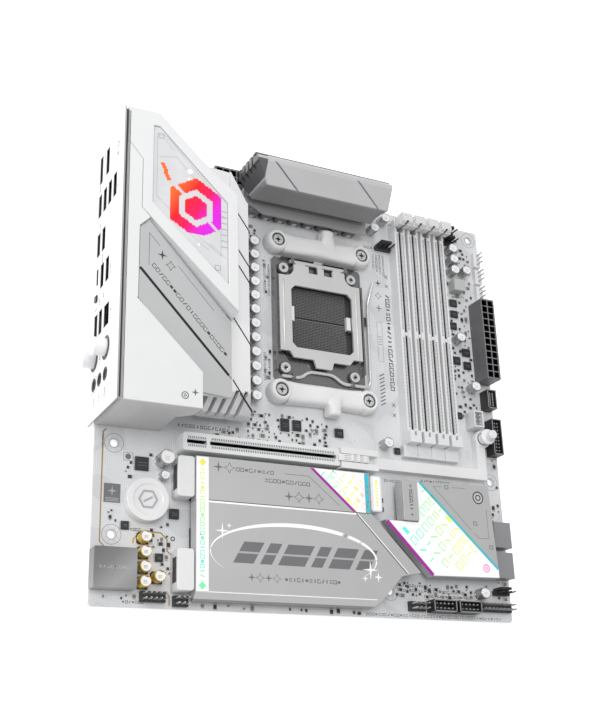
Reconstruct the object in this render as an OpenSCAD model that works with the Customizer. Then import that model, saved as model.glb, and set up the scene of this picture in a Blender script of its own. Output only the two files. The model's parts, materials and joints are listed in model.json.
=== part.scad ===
// Micro-ATX desktop motherboard with integrated rear cover.
// Board positions are given as x from the rear edge and d down from the top edge, and heights
// as z above the component side. The origin is the datum standoff hole at the underside.

/* [Board] */
// Width and depth of the circuit board
board_size = 244; // [240:0.5:248]
// Thickness of the circuit board
board_t = 1.6; // [1.2:0.1:2]
// Radius of the standoff holes
standoff_r = 1.98; // [1.6:0.01:2.2]

/* [Processor socket] */
// Socket centre from the rear edge
socket_x = 127.1; // [126:0.1:128]
// Socket centre down from the top edge
socket_d = 81.3; // [80.5:0.1:82]
// Cooler screw spacing across the board
cooler_dx = 54; // [53:0.5:55]
// Cooler screw spacing down the board
cooler_dd = 90; // [89:0.5:91]
// Radius of the load lever's wire
lever_r = 1; // [0.8:0.05:1.1]

/* [Memory] */
// Distance between neighbouring memory slots
dimm_pitch = 9.25; // [9:0.05:9.5]
// Groove of the first memory slot from the rear edge
dimm_x = 181.6; // [180.5:0.1:182]
// Height of a memory slot
dimm_h = 7.6; // [7:0.1:8]

/* [Rear cover] */
// Height of the rear cover above the board
cover_h = 42; // [41:0.5:43]
// Wall thickness of the rear cover
cover_wall = 1.6; // [1.2:0.1:2]

/* [Hidden] */
$fn = 48;
datum_x = 10.16;
datum_d = 163.83;
far_column = 237.49;
mid_column = 165.1;
top_row = 6.35;
running_gap = 0.06;
gap = 0.3;
standoffs = [[datum_x, datum_d], [datum_x, 209.55], [far_column, datum_d], [far_column, top_row],
    [mid_column, top_row], [mid_column, 229.87]];
cooler_screws = [for (i = [-1, 1], j = [-1, 1]) [socket_x + i * cooler_dx / 2, socket_d + j * cooler_dd / 2]];
frame_screws = [[104.6, 51.7], [148.1, 51.7], [104.4, 112], [147.8, 112]];
sink_screws = [[88, 5.5, 4.6], [150, 5.5, 4.6], [56, 30, 4.6], [56, 138, 4.6], [200, 178, 4.6], [200, 216, 4.6],
    [144, 173, 8.4], [144, 188, 8.4], [60, 232, 8.4], [140, 232, 8.4]];
sink_screw_r = 1.5;
sink_thread_r = 1.55;
power_edge = 1.4;
pin_half = 0.32;
dimm_count = 4;
dimm_half = 3.65;
latch_pivot_d = 9.5;
latch_pivot_z = 3;
plate_pivot_d = 47;
plate_pivot_z = 3.6;
lever_d = 116.8;
lever_z = 3.2;
lever_path = [[101.6, lever_d], [113.5, lever_d], [119, 112.4], [134, 112.4], [140, lever_d], [157.9, lever_d],
    [158.6, 64.6], [163.3, 50.5]];
rod_trim = 1.2;
choke_h = 6.9;
sink_z = 7.4;
m2_z = 3.9;
m2_top = 11;
power_pitch = 4.2;
power_cell = 3.5;
usb_w = 13.1;
usb_h = 5.6;
port_face = -1.2;
shield_x = -2.6;
button_x = 231.2;
button_d = 139.5;
cover_x = 60.4;
cover_d0 = -3.8;
cover_d1 = 155.4;
inner_x = cover_x - cover_wall;
inner_d0 = cover_d0 + cover_wall;
inner_d1 = cover_d1 - cover_wall;
hood = [[-0.4, cover_d0], [16.6, cover_d0], [39, 17.6], [cover_x, 35], [cover_x, 144.4], [40.5, 144.4],
    [40.5, cover_d1], [-0.4, cover_d1]];
panel = [[7.3, 64.5], [12.5, 59.6], [60.2, 103.2], [60.2, 144.2], [42, 144.2], [42, 136.6], [7.3, 103]];
white_end = [[-0.4, 102], [5.6, 102], [40.5, 136.7], [40.5, cover_d1], [-0.4, cover_d1]];
window_frame = [[-0.2, -3.6], [16.5, -3.6], [38.8, 17.7], [60.2, 35.2], [60.2, 101.5], [8, 53.3],
    [8, 25.5], [1.1, 17.5], [-0.2, 17.5]];
window = [[13.5, 4.4], [17, 4.4], [54.6, 41], [54.6, 87.3], [13.5, 49.2]];

// Port faces as [centre d, centre z, width along d, height]
usb_faces = [for (z = [3.6, 12.1, 20.6, 29.1]) [36.2, z, usb_w, usb_h]];
usb_pair = [for (z = [3.6, 12.1]) [59.2, z, usb_w, usb_h]];
usb_mixed = [[77.5, 3.4, 9, 3.3], [79.8, 11.6, usb_w, usb_h], [79.8, 20.3, usb_w, usb_h]];
usb_network = [for (z = [3.6, 11.4]) [105.4, z, usb_w, usb_h]];
display_faces = [[14.6, 3.8, 16.2, 5.2], [14.8, 15, 15.2, 5.6]];
network_face = [105.4, 21.4, 11.8, 8.4];
antenna_spots = [[123.2, 3.6], [123.2, 22.6]];
jack_spots = [[136.9, 4.6], [136.9, 13.8], [136.9, 23]];
button_spots = [[89.9, 3.6], [94.3, 3.6]];

// Flat chips as [x, d, width, depth, height], centred on x and d
chip_list = [[24.5, 173.3, 7, 7, 1.2], [41.6, 197.5, 5, 5, 1.6], [34.3, 219.6, 4, 4, 1], [221.6, 52.5, 5, 4.6, 1.1],
    [221.6, 59.8, 5, 4.6, 1.1], [220.1, 67.8, 5, 4.6, 1.1], [228, 84.2, 5.4, 5, 1.1], [220.6, 90.3, 5, 5, 1.1],
    [228.2, 92.6, 5, 5, 1.1], [219, 125.1, 4, 4, 1], [174.6, 151.4, 3.6, 3.8, 1], [104.4, 144, 5, 7, 1.2],
    [111.6, 143.6, 5, 6, 1.2], [137.6, 145, 5, 5, 1.2], [223.2, 42.4, 7.4, 7.4, 7], [16.6, 204.8, 4, 4, 1],
    [160.8, 180.6, 5, 2.4, 1], [160.8, 185.6, 5, 2.4, 1]];

// Moves its children to a board position
module at(x, d, z = 0) translate([x - datum_x, datum_d - d, board_t + z]) children();

// Box between two corners on the board and two heights
module block(x0, d0, x1, d1, z0, z1) at(x0, d1, z0) cube([x1 - x0, d1 - d0, z1 - z0]);

// Upright prism on an outline of board positions
module slab(points, z0, z1) at(0, 0, z0) linear_extrude(z1 - z0) polygon([for (p = points) [p[0], -p[1]]]);

// Upright round bar
module post(x, d, r, z0, z1) at(x, d, z0) cylinder(h = z1 - z0, r = r);

// Box with its upright edges cut off at 45 degrees
module cut_block(x0, d0, x1, d1, z0, z1, c) slab([[x0 + c, d0], [x1 - c, d0], [x1, d0 + c], [x1, d1 - c],
    [x1 - c, d1], [x0 + c, d1], [x0, d1 - c], [x0, d0 + c]], z0, z1);

// Bar with a section of [d, z] points, running across the board
module across(x0, x1, section) at(x0, 0)
    rotate([90, 0, 90]) linear_extrude(x1 - x0) polygon([for (p = section) [-p[0], p[1]]]);

// Bar with a section of [x, z] points, running down the board
module down(d0, d1, section) at(0, d0) rotate([90, 0, 0]) linear_extrude(d1 - d0) polygon(section);

// Round bar across the board
module pin_across(x0, x1, d, z, r) at(x0, d, z) rotate([0, 90, 0]) cylinder(h = x1 - x0, r = r);

// Outline point beside point i of a path, w to its left, mitred at the bends
function beside(path, i, w) = let (
    a = path[max(i, 1)] - path[max(i, 1) - 1],
    b = path[min(i + 1, len(path) - 1)] - path[min(i, len(path) - 2)],
    m = [-a[1], a[0]] / norm(a) + [-b[1], b[0]] / norm(b)) path[i] + m * 2 * w / (m * m);

// Flat strip of half width w along a path
module strip(path, w, z0, z1) slab(concat([for (i = [0:len(path) - 1]) beside(path, i, w)],
    [for (i = [len(path) - 1:-1:0]) beside(path, i, -w)]), z0, z1);

// Round rod between two board points at one height, ending short of both
module rod(p, q, z, r) {
    v = q - p;
    at(p[0], p[1], z) rotate([0, 0, atan2(-v[1], v[0])]) translate([rod_trim, 0, 0])
        rotate([0, 90, 0]) cylinder(h = norm(v) - 2 * rod_trim, r = r);
}

module circuit_board() color("whitesmoke") difference() {
    cut_block(0, 0, board_size, board_size, -board_t, 0, 1.2);
    for (p = standoffs) post(p[0], p[1], standoff_r, -3, 1);
    for (p = cooler_screws) post(p[0], p[1], 2.5, -3, 1);
    for (p = frame_screws) post(p[0], p[1], 1.8, -3, 1);
    for (p = sink_screws) post(p[0], p[1], 1.7, -3, 1);
}

module socket_backplate() color("dimgray") {
    difference() {
        cut_block(socket_x - 34, socket_d - 52, socket_x + 34, socket_d + 52, -4.2, -board_t - gap, 8);
        cut_block(socket_x - 11, socket_d - 11, socket_x + 11, socket_d + 11, -5, 0, 2);
        for (p = cooler_screws) post(p[0], p[1], 1.75, -5, 1);
        for (p = frame_screws) post(p[0], p[1], 1.55, -5, 1);
    }
    for (p = cooler_screws) difference() {
        post(p[0], p[1], 2.4, -board_t - gap, -0.1);
        post(p[0], p[1], 1.75, -5, 1);
    }
}

module socket_housing() color("gainsboro") {
    difference() {
        cut_block(105.1, 59.3, 149.1, 103.3, 0, 3.4, 1);
        block(107.1, 61.3, 147.1, 101.3, 1.5, 4);
    }
    block(107.1, 76.5, 109.8, 85.5, 1.5, 4.1);
    block(144.4, 76.5, 147.1, 85.5, 1.5, 4.1);
}

module socket_contacts() color("dimgray") {
    block(110.1, 62.3, 144.1, 80.7, 1.5, 2);
    block(110.1, 81.9, 144.1, 100.3, 1.5, 2);
}

module socket_frame() color("silver") {
    difference() {
        cut_block(98.3, 44.5, 155.4, 118.4, 0, 1.8, 1.5);
        block(104.7, 58.9, 149.5, 103.7, -1, 3);
        for (p = frame_screws) post(p[0], p[1], 1.8, -1, 3);
    }
    block(98.3, 52, 99.4, 114, 1.8, 5.2);
    block(153.4, 56, 154.5, 110, 1.8, 5.2);
    block(103.5, 44.5, 124, 45.2, 1.8, 4.6);
    block(130, 44.5, 151, 45.2, 1.8, 4.6);
    block(155.4, 73, 160.5, 78, 0.4, 1.8);
    for (x = [109, 143]) difference() {
        block(x, 45.4, x + 2, 48.8, 1.8, 5.2);
        pin_across(x - 1, x + 3, plate_pivot_d, plate_pivot_z, 1.2 + running_gap);
    }
    for (x = [108, 145]) difference() {
        block(x, 115.2, x + 1.8, 118.4, 1.8, 5.2);
        pin_across(x - 1, x + 3, lever_d, lever_z, lever_r + running_gap);
    }
}

module load_plate() color("lightgray") {
    difference() {
        block(100.5, 49.5, 152.2, 106, 4.6, 6);
        cut_block(108, 62.5, 146.6, 100, 4, 7, 2.6);
        for (p = frame_screws) post(p[0], p[1], 5.4, 4, 7);
        block(99, 48, 104.6, 57.1, 4, 7);
        block(99, 48, 110, 51.7, 4, 7);
        block(148.1, 48, 154, 57.1, 4, 7);
        block(142.7, 48, 154, 51.7, 4, 7);
        block(119.5, 48, 125.2, 53.5, 4, 7);
        block(129.2, 48, 134.8, 53.5, 4, 7);
        slab([[99, 102.6], [106.4, 102.6], [109.4, 107], [99, 107]], 4, 7);
        slab([[154, 102.6], [146.4, 102.6], [143, 107], [154, 107]], 4, 7);
    }
    block(100.5, 57.5, 101.9, 102.5, 2.6, 4.6);
    block(150.8, 57.5, 152.2, 102.5, 2.6, 4.6);
    for (x = [[112, 118], [125.5, 128.8], [136, 141]]) block(x[0], plate_pivot_d, x[1], 50, 3.6, 4.8);
    pin_across(108.6, 145.4, plate_pivot_d, plate_pivot_z, 1.2);
    slab([[121, 106], [133.5, 106], [132, 110.6], [122.5, 110.6]], 4.6, 6);
}

module socket_lever() color("gainsboro") {
    core = 0.69 * lever_r;
    strip(lever_path, core, lever_z - core, lever_z + core);
    for (i = [1:len(lever_path) - 1]) rod(lever_path[i - 1], lever_path[i], lever_z, lever_r);
}

module socket_screws() color("silver") for (p = frame_screws) {
    difference() {
        post(p[0], p[1], 3, 1.8, 4.1);
        at(p[0], p[1], 3) cylinder(h = 2, r = 1.5, $fn = 6);
    }
    post(p[0], p[1], 1.5, -4, 1.8);
}

module cooler_bracket(side) {
    screw_d = socket_d + side * cooler_dd / 2;
    x0 = socket_x - cooler_dx / 2;
    x1 = socket_x + cooler_dx / 2;
    difference() {
        union() {
            for (x = [x0, x1]) post(x, screw_d, 6.8, 0, 8.2);
            block(x0, screw_d - 4.6, x1, screw_d + 4.6, 2, 8.2);
            slab([[127.2, screw_d], [137.4, screw_d], [135.2, screw_d + side * 11.4],
                [128.6, screw_d + side * 11.4]], 3, 9.4);
        }
        for (x = [x0, x1]) {
            post(x, screw_d, 1.9, -1, 10);
            post(x, screw_d, 3.9, 4.4, 10);
        }
    }
}

module cooler_bracket_upper() color("whitesmoke") cooler_bracket(-1);
module cooler_bracket_lower() color("whitesmoke") cooler_bracket(1);

module cooler_bracket_screws() color("gray") for (p = cooler_screws) {
    difference() {
        post(p[0], p[1], 3.4, 4.4, 7.4);
        block(p[0] - 2, p[1] - 0.4, p[0] + 2, p[1] + 0.4, 6, 8);
        block(p[0] - 0.4, p[1] - 2, p[0] + 0.4, p[1] + 2, 6, 8);
    }
    post(p[0], p[1], 1.7, -3.8, 4.4);
}

// Memory slot i, with its fixed lower tower and the two cheeks that hold the latch
module dimm_slot(i) {
    x = dimm_x + i * dimm_pitch;
    difference() {
        union() {
            block(x - dimm_half, 15.2, x + dimm_half, 141, 0, dimm_h);
            block(x - dimm_half, 141, x + dimm_half, 148, 0, 10.4);
            block(x - 4.5, 148, x + 4.5, 155, 0, 4);
            for (s = [-1, 1]) block(x + s * 2.925 - 0.725, 7.2, x + s * 2.925 + 0.725, 15.2, 0, 8);
        }
        block(x - 0.75, 15, x + 0.75, 80.6, 2, 12);
        block(x - 0.75, 82.6, x + 0.75, 144, 2, 12);
        pin_across(x - 4, x + 4, latch_pivot_d, latch_pivot_z, 1 + running_gap);
    }
}

module dimm_latch(i) {
    x = dimm_x + i * dimm_pitch;
    block(x - 2, 8, x + 2, 11.4, 1.2, 8.8);
    difference() {
        union() {
            across(x - 3.3, x + 3.3, [[7, 8.8], [12.2, 8.8], [13.4, 16.6], [12.6, 18], [8, 18], [6.4, 16.6]]);
            across(x - 4.2, x + 4.2, [[11.4, 9.2], [13.2, 9.2], [13.9, 15], [12, 16.4]]);
        }
        block(x - 0.75, 12.3, x + 0.75, 15, 8, 19);
        for (z = [11, 13, 15]) block(x - 4, 6, x + 4, 7.2, z, z + 0.8);
    }
    pin_across(x - 3, x + 3, latch_pivot_d, latch_pivot_z, 1);
}

module dimm_slot_1() color("whitesmoke") dimm_slot(0);
module dimm_slot_2() color("gainsboro") dimm_slot(1);
module dimm_slot_3() color("whitesmoke") dimm_slot(2);
module dimm_slot_4() color("gainsboro") dimm_slot(3);
module dimm_latch_1() color("white") dimm_latch(0);
module dimm_latch_2() color("white") dimm_latch(1);
module dimm_latch_3() color("white") dimm_latch(2);
module dimm_latch_4() color("white") dimm_latch(3);

// Power socket with rows of square cells
module power_socket(x0, d0, columns, rows, h) {
    w = columns * power_pitch + power_edge;
    t = rows * power_pitch + power_edge;
    difference() {
        cut_block(x0, d0, x0 + w, d0 + t, 0, h, 0.5);
        for (i = [0:columns - 1], j = [0:rows - 1]) {
            x = x0 + power_edge / 2 + (i + 0.5) * power_pitch;
            d = d0 + power_edge / 2 + (j + 0.5) * power_pitch;
            block(x - power_cell / 2, d - power_cell / 2, x + power_cell / 2, d + power_cell / 2, 2.5, h + 1);
        }
    }
}

module main_power_socket() color("dimgray") power_socket(233.2, 51.8, 2, 12, 12.6);

module cpu_power_socket() color("dimgray") power_socket(59.2, 1, 4, 2, 12.6);

module pcie_slot() color("gainsboro") difference() {
    cut_block(42.5, 157.3, 131.8, 166.8, 0, 11, 0.8);
    block(44.5, 161.2, 55.2, 162.9, 2.5, 12);
    block(57, 161.2, 129.6, 162.9, 2.5, 12);
}

module pcie_latch() color("whitesmoke") {
    block(132.6, 160.1, 149, 164, 7.4, 12.3);
    block(130.3, 160.1, 132.6, 164, 11.4, 12.3);
    for (x = [138, 142, 146]) block(x, 160.1, x + 1.2, 164, 12.3, 13);
}

module pcie_release_button() color("white") {
    post(button_x, button_d, 3.4, 5, 9.4);
    post(button_x, button_d, 4.6, 9.4, 11);
    post(button_x, button_d, 2.6, 11, 16);
}

module pcie_release_channel() color("whitesmoke") {
    block(132.1, 156.4, 155, 167.8, 0, 7.1);
    block(132.1, 156.4, 155, 159.8, 7.1, 12);
    block(132.1, 164.3, 155, 167.8, 7.1, 12);
    difference() {
        union() {
            slab([[155, 158], [226.5, 158], [226.5, 142], [232.5, 142], [232.5, 164.2], [155, 164.2]], 0, 4.6);
            post(button_x, button_d, 5.2, 0, 5);
        }
        post(button_x, button_d, 3.7, 1.4, 6);
    }
}

// Lower drive cover, with a cut-off corner and a sloped lower edge
module m2_cover_lower() color("silver") difference() {
    intersection() {
        slab([[49.5, 191.6], [149.7, 191.6], [178.5, 221.3], [166.6, 223.5], [150.7, 239.6], [148.8, 240.4],
            [49.5, 240.4]], m2_z, m2_top);
        across(49, 179, [[191, m2_z], [240.4, m2_z], [240.4, 6.4], [237, m2_top], [191, m2_top]]);
    }
    for (i = [8, 9]) post(sink_screws[i][0], sink_screws[i][1], sink_thread_r, 0, 9);
}

module m2_cover_upper() color("silver") difference() {
    slab([[49.5, 169.2], [149, 169.2], [149, 191.3], [49.5, 191.3]], m2_z, m2_top);
    for (i = [6, 7]) post(sink_screws[i][0], sink_screws[i][1], sink_thread_r, 0, 9);
}

module m2_end_blocks() color("whitesmoke") {
    cut_block(40.4, 169.5, 49.2, 190.3, 0, 10, 1);
    cut_block(40.4, 216, 49.2, 236.3, 0, 10, 1);
    cut_block(149.5, 170.5, 156, 190.3, 0, 12, 0.8);
}

module m2_connectors() color("dimgray") for (d = [169.8, 204]) difference() {
    block(50, d, 54.6, d + 20.4, 0, 3.6);
    block(52, d + 0.8, 55, d + 19.6, 1.4, 2.4);
}

module m2_latch(d) {
    post(137, d, 2.3, 0.05, 2);
    block(133.6, d - 1.6, 137, d + 1.6, 2, 3.2);
    post(137, d, 1.6, 2, 3.4);
}

module m2_latch_1() color("white") m2_latch(180);
module m2_latch_2() color("white") m2_latch(214);

module thermal_pads() color("lightsteelblue") {
    block(58, 171, 130, 190, 2.7, m2_z);
    block(58, 205, 130, 223, 2.7, m2_z);
    block(193.5, 188.5, 216.5, 211.5, 1.8, 2.6);
    block(82, 9, 154, 15, 1, 2);
    block(62, 42, 68, 136, 1, 2);
}

module heatsink_screws() color("silver") for (p = sink_screws) {
    difference() {
        post(p[0], p[1], 2.9, -board_t - 1.4, -board_t);
        at(p[0], p[1], -board_t - 2) cylinder(h = 1.4, r = 1.2, $fn = 6);
    }
    post(p[0], p[1], sink_screw_r, -board_t, p[2]);
}

module chipset_heatsink() color("silver") difference() {
    union() {
        slab([[179, 170.8], [228, 169], [230.6, 221.5], [186.5, 222.4], [158.5, 193.4], [179, 193.4]], m2_z, 10);
        cut_block(169.4, 171, 179, 193.2, m2_z, 12, 0.6);
        block(194, 189, 216, 211, 2.6, m2_z);
        for (p = [sink_screws[4], sink_screws[5]]) post(p[0], p[1], 3.2, 0, m2_z);
    }
    for (p = [sink_screws[4], sink_screws[5]]) post(p[0], p[1], sink_thread_r, -1, 5);
    post(220.5, 176.6, 3.6, 9.4, 11);
}

module chipset() color("dimgray") block(193, 188, 217, 212, 0, 1.8);

module vrm_heatsink_upper() color("silver") difference() {
    union() {
        slab([[79, 2.4], [157, 2.4], [157, 22.9], [90.5, 22.9], [81.6, 18.6], [79, 14]], sink_z, 9);
        across(73, 157.4, [[2.6, 14], [2.6, 37], [3.8, 37], [3.8, 31], [5, 31], [5, 39.6], [6.4, 40.4], [8.6, 40],
            [19.4, 34], [18.9, 31], [17.8, 26], [17.5, 20], [18.2, 14]]);
        block(79, 2.6, 157.4, 13.6, 9, 14);
        block(81.6, 9, 154.4, 15, 2, sink_z);
        for (p = [sink_screws[0], sink_screws[1]]) post(p[0], p[1], 3, 0, sink_z);
    }
    for (p = [sink_screws[0], sink_screws[1]]) post(p[0], p[1], sink_thread_r, -1, 5);
    for (x = [83, 134.2]) slab([[x, 8], [x + 1.4, 8], [x + 18.4, 20], [x + 17, 20]], 33.2, 42);
    for (z = [16.5, 21.5, 26.5, 31.5]) block(72, 0, 75.6, 24, z, z + 1.8);
    slab([[72, 9], [74.2, 9], [81.4, 19.6], [81.4, 23], [72, 23]], 13, 42);
}

module vrm_heatsink_rear() color("whitesmoke") difference() {
    union() {
        intersection() {
            slab([[50, 13.6], [61.5, 14.4], [70.5, 31], [80, 36], [80, 147.4], [50, 147.4]], sink_z, 31);
            down(10, 150, [[49, sink_z], [79.8, sink_z], [79.8, 9.6], [71.2, 30], [60.8, 30], [60.8, 29], [49, 29]]);
            across(48, 82, [[12, 0], [149, 0], [149, 14], [140, 30], [137, 31], [12, 31]]);
        }
        block(62, 42, 68, 136, 2, sink_z);
        for (p = [sink_screws[2], sink_screws[3]]) post(p[0], p[1], 3, 0, sink_z);
    }
    for (p = [sink_screws[2], sink_screws[3]]) post(p[0], p[1], sink_thread_r, -1, 5);
    for (d = [36.5, 58, 67.2, 102, 137])
        slab([[61.5, d - 4], [61.5, d - 2.6], [73, d + 14.2], [73, d + 12.8]], 29.2, 32);
    for (x = [53, 58, 63, 68]) block(x, 139, x + 2, 148, 10, 31);
}

module vrm_power_stages() color("dimgray") {
    for (i = [0:7]) block(82.5 + i * 9, 9.4, 88.5 + i * 9, 14.6, 0, 1);
    for (i = [0:10]) block(62.4, 42.6 + i * 8.4, 67.6, 48.6 + i * 8.4, 0, 1);
}

module vrm_chokes() color("gray") {
    for (i = [0:7]) cut_block(82.2 + i * 9, 16, 89.4 + i * 9, 22, 0, choke_h, 0.6);
    for (i = [0:10]) cut_block(70.4, 42.4 + i * 8.4, 77.2, 49.4 + i * 8.4, 0, choke_h, 0.6);
}

// Hollow rear cover: a stepped roof over the ports, with the flat end and the sloped trim seat
module shroud_body() color("white") difference() {
    union() {
        intersection() {
            slab(hood, 0.3, cover_h);
            down(-6, 160, [[-2, 0], [-2, cover_h - 2], [6.2, cover_h - 2], [62, cover_h - 12.6], [62, 0]]);
        }
        slab(white_end, 0.3, cover_h);
        slab([[-0.4, 17.8], [0.9, 17.8], [7.7, 25.8], [7.7, 53.5], [12.4, 58], [6.9, 63.6], [6.9, 102.6],
            [-0.4, 102.6]], 30, cover_h);
        slab([[-0.4, -3.8], [16.6, -3.8], [39, 17.6], [60.4, 35], [60.4, 101.7], [-0.4, 46]], 30, cover_h - 2.4);
    }
    slab([[-2, inner_d0], [-2, inner_d1], [31.6, inner_d1], [31.6, 142.8], [inner_x, 142.8], [inner_x, 36],
        [38, 19.2], [16, inner_d0]], 0, cover_h - 14.4);
    slab([[-2, inner_d0], [16, inner_d0], [38, 19.2], [inner_x, 36], [inner_x, 98], [-2, 40]], 20, cover_h - 4.4);
    slab([[-2, 20], [20, 60], [20, 110], [31, 128], [31, inner_d1], [-2, inner_d1]], 20, cover_h - 5.6);
    block(32.9, 144.6, 42, 157, -1, 26);
    down(144.5, 157, [[33, 25], [42, 33], [42, 20], [33, 20]]);
    block(44, 10, 62, 149, -1, 30.3);
    block(30, -5, 62, 13.4, -1, 26);
    slab(window_frame, cover_h - 2.4, cover_h + 1);
}

module shroud_trim_panel() color("silver") intersection() {
    slab(panel, 20, cover_h);
    down(50, 150, [[6.2, cover_h - 2], [6.2, cover_h], [62, cover_h - 10.6], [62, cover_h - 12.6]]);
}

module shroud_window_frame() color("white") difference() {
    slab(window_frame, cover_h - 2.4, cover_h);
    slab(window, cover_h - 3, cover_h + 1);
}

module light_panel() color([0.9, 0.9, 0.95, 0.6]) intersection() {
    slab(window, cover_h - 2.4, cover_h - 0.8);
    slab([[13.7, 4.6], [16.9, 4.6], [54.4, 41.1], [54.4, 86.8], [13.7, 49]], cover_h - 3, cover_h);
}

// Hole through the rear faces for a rectangular port
module port_hole(face, x0, x1, grow = 0) block(x0, face[0] - face[2] / 2 - grow, x1, face[0] + face[2] / 2 + grow,
    face[1] - face[3] / 2 - grow, face[1] + face[3] / 2 + grow);

module io_shield() color("whitesmoke") difference() {
    union() {
        block(shield_x, -3, -1.6, 155.4, -5.2, 42.4);
        difference() {
            block(-1.6, -2, -0.6, 154.4, -4.2, 41.2);
            block(-2, -0.6, 0, 153, -2, 39.8);
        }
    }
    for (f = concat(usb_faces, usb_pair, usb_mixed, usb_network, display_faces, [network_face]))
        port_hole(f, shield_x - 1, -1, 0.1);
    for (p = button_spots) port_hole([p[0], p[1], 3.4, 3.4], shield_x - 1, -1, 0.2);
    for (p = antenna_spots) at(shield_x - 1, p[0], p[1]) rotate([0, 90, 0]) cylinder(h = 3, r = 3.6);
    for (p = jack_spots) at(shield_x - 1, p[0], p[1]) rotate([0, 90, 0]) cylinder(h = 3, r = 3.5);
}

// Metal port housing with open mouths and a tongue in each
module port_stack(d0, d1, h, faces, depth) difference() {
    block(port_face, d0, depth, d1, 0, h);
    for (f = faces) difference() {
        port_hole(f, port_face - 1, 12);
        port_hole([f[0], f[1] + f[3] * 0.12, f[2] - 2.4, f[3] * 0.34], port_face + 1, 13);
    }
}

module usb_ports() color("silver") {
    port_stack(28.8, 43.6, 32.6, usb_faces, 17);
    port_stack(51.8, 66.6, 15.6, usb_pair, 17);
    port_stack(72.4, 87.2, 24, usb_mixed, 17);
    port_stack(98, 112.8, 14.8, usb_network, 17);
}

module display_ports() color("silver") {
    port_stack(5.6, 23.6, 7, [display_faces[0]], 17);
    difference() {
        block(port_face, 6, 17, 23.6, 7.2, 18.4);
        port_hole(display_faces[1], port_face - 1, 12);
    }
    block(3, 9, 12, 20.6, 14.4, 15.6);
}

module network_port() color("silver") difference() {
    block(port_face, 97.4, 20, 113.4, 15, 28);
    port_hole(network_face, port_face - 1, 13);
    block(port_face - 1, 103, 8, 107.8, 16.2, 18);
}

module audio_jacks() color("dimgray") difference() {
    block(port_face, 132, 14, 141.8, 0, 28);
    for (p = jack_spots) at(port_face - 1, p[0], p[1]) rotate([0, 90, 0]) cylinder(h = 13, r = 1.8);
}

// Threaded aerial sockets with push-on dust caps
module antenna_connectors() color("gold") for (p = antenna_spots) {
    at(-9.4, p[0], p[1]) rotate([0, 90, 0]) cylinder(h = 6.6, r = 4.5);
    at(-2.8, p[0], p[1]) rotate([0, 90, 0]) cylinder(h = 12, r = 3.1);
}

module push_button(p) {
    block(-3.4, p[0] - 1.7, 4.3, p[0] + 1.7, p[1] - 1.7, p[1] + 1.7);
    block(-1.2, p[0] - 2.1, -0.6, p[0] + 2.1, p[1] - 1.7, p[1] + 1.7);
}

module bios_button() color("dimgray") push_button(button_spots[0]);
module cmos_button() color("white") push_button(button_spots[1]);

module audio_shield() color("silver") difference() {
    cut_block(-0.3, 217, 21, 236.3, 0, 8, 0.6);
    block(0.5, 217.8, 20.2, 235.5, -1, 6);
}

module radial_capacitor(x, d, r, h) {
    cut_block(x - r, d - r, x + r, d + r, 0, 0.8, r * 0.3);
    post(x, d, r, 0.8, h);
}

module capacitors() color("lightgray") {
    for (i = [0:11]) radial_capacitor(85.3, 40.1 + i * 8.31, 3.1, 8);
    for (p = [[220.3, 18.2], [220.5, 25.4], [220.6, 32.6], [229.2, 31.6], [220.7, 77.4], [228.4, 107.7],
        [165.3, 149.1], [172.6, 7.4], [164.4, 15.4], [221.9, 229.4]]) radial_capacitor(p[0], p[1], 3.1, 8);
    radial_capacitor(34.9, 171, 4, 10);
    radial_capacitor(35.5, 179, 2.6, 5.4);
}

module audio_capacitors() color("gold") {
    for (d = [210.6, 217.8, 225, 232.2]) radial_capacitor(25.7, d, 3, 7);
    radial_capacitor(33, 229.4, 3, 7);
}

module battery_cover() color("whitesmoke") difference() {
    post(26.5, 192.2, 10.8, 0, 6);
    post(26.5, 192.2, 10, -1, 4.4);
    post(26.5, 192.2, 7.6, 5.4, 7);
}

module coin_cell() color("silver") post(26.5, 192.2, 9.8, 0.8, 4);

module sata_ports() color("gray") for (d = [189, 206.2]) difference() {
    block(231.2, d, 242.6, d + 14.6, 0, 8);
    for (z = [2.1, 5.9]) {
        block(234, d + 1.6, 243, d + 13, z - 1.2, z + 0.2);
        block(234, d + 1.6, 243, d + 3.4, z - 1.2, z + 1.2);
    }
}

// Square pin
module pin(x, d, z0, z1) block(x - pin_half, d - pin_half, x + pin_half, d + pin_half, z0, z1);

// Box header: a wall round nx by nd pins
module box_header(x0, d0, x1, d1, h, nx, nd, pitch) {
    difference() {
        block(x0, d0, x1, d1, 0, h);
        block(x0 + 0.9, d0 + 0.9, x1 - 0.9, d1 - 0.9, 2, h + 1);
    }
    for (i = [0:nx - 1], j = [0:nd - 1])
        pin((x0 + x1) / 2 + (i - (nx - 1) / 2) * pitch, (d0 + d1) / 2 + (j - (nd - 1) / 2) * pitch, 2, h - 0.8);
}

module front_usb_headers() color("dimgray") {
    box_header(187.4, 234.2, 201.9, 240.6, 8, 5, 2, 2.54);
    box_header(203.8, 234.2, 218.3, 240.6, 8, 5, 2, 2.54);
    box_header(236.8, 127, 243.4, 148.6, 8, 2, 10, 2);
    box_header(235.6, 108.8, 241.8, 120.4, 8, 1, 6, 1.6);
}

// Low header base with its square pins
module pin_row(x0, d0, nx, nd, pitch, base, reach) {
    block(x0, d0, x0 + nx * pitch, d0 + nd * pitch, 0, base);
    for (i = [0:nx - 1], j = [0:nd - 1]) {
        x = x0 + (i + 0.5) * pitch;
        d = d0 + (j + 0.5) * pitch;
        pin(x, d, base, reach);
    }
}

// Fan header: pins in front of a keyed wall
module fan_header(x0, d0) {
    pin_row(x0, d0, 4, 1, 2.54, 3, 10);
    block(x0 + 1, d0 - 1.4, x0 + 8, d0, 0, 8);
}

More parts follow.
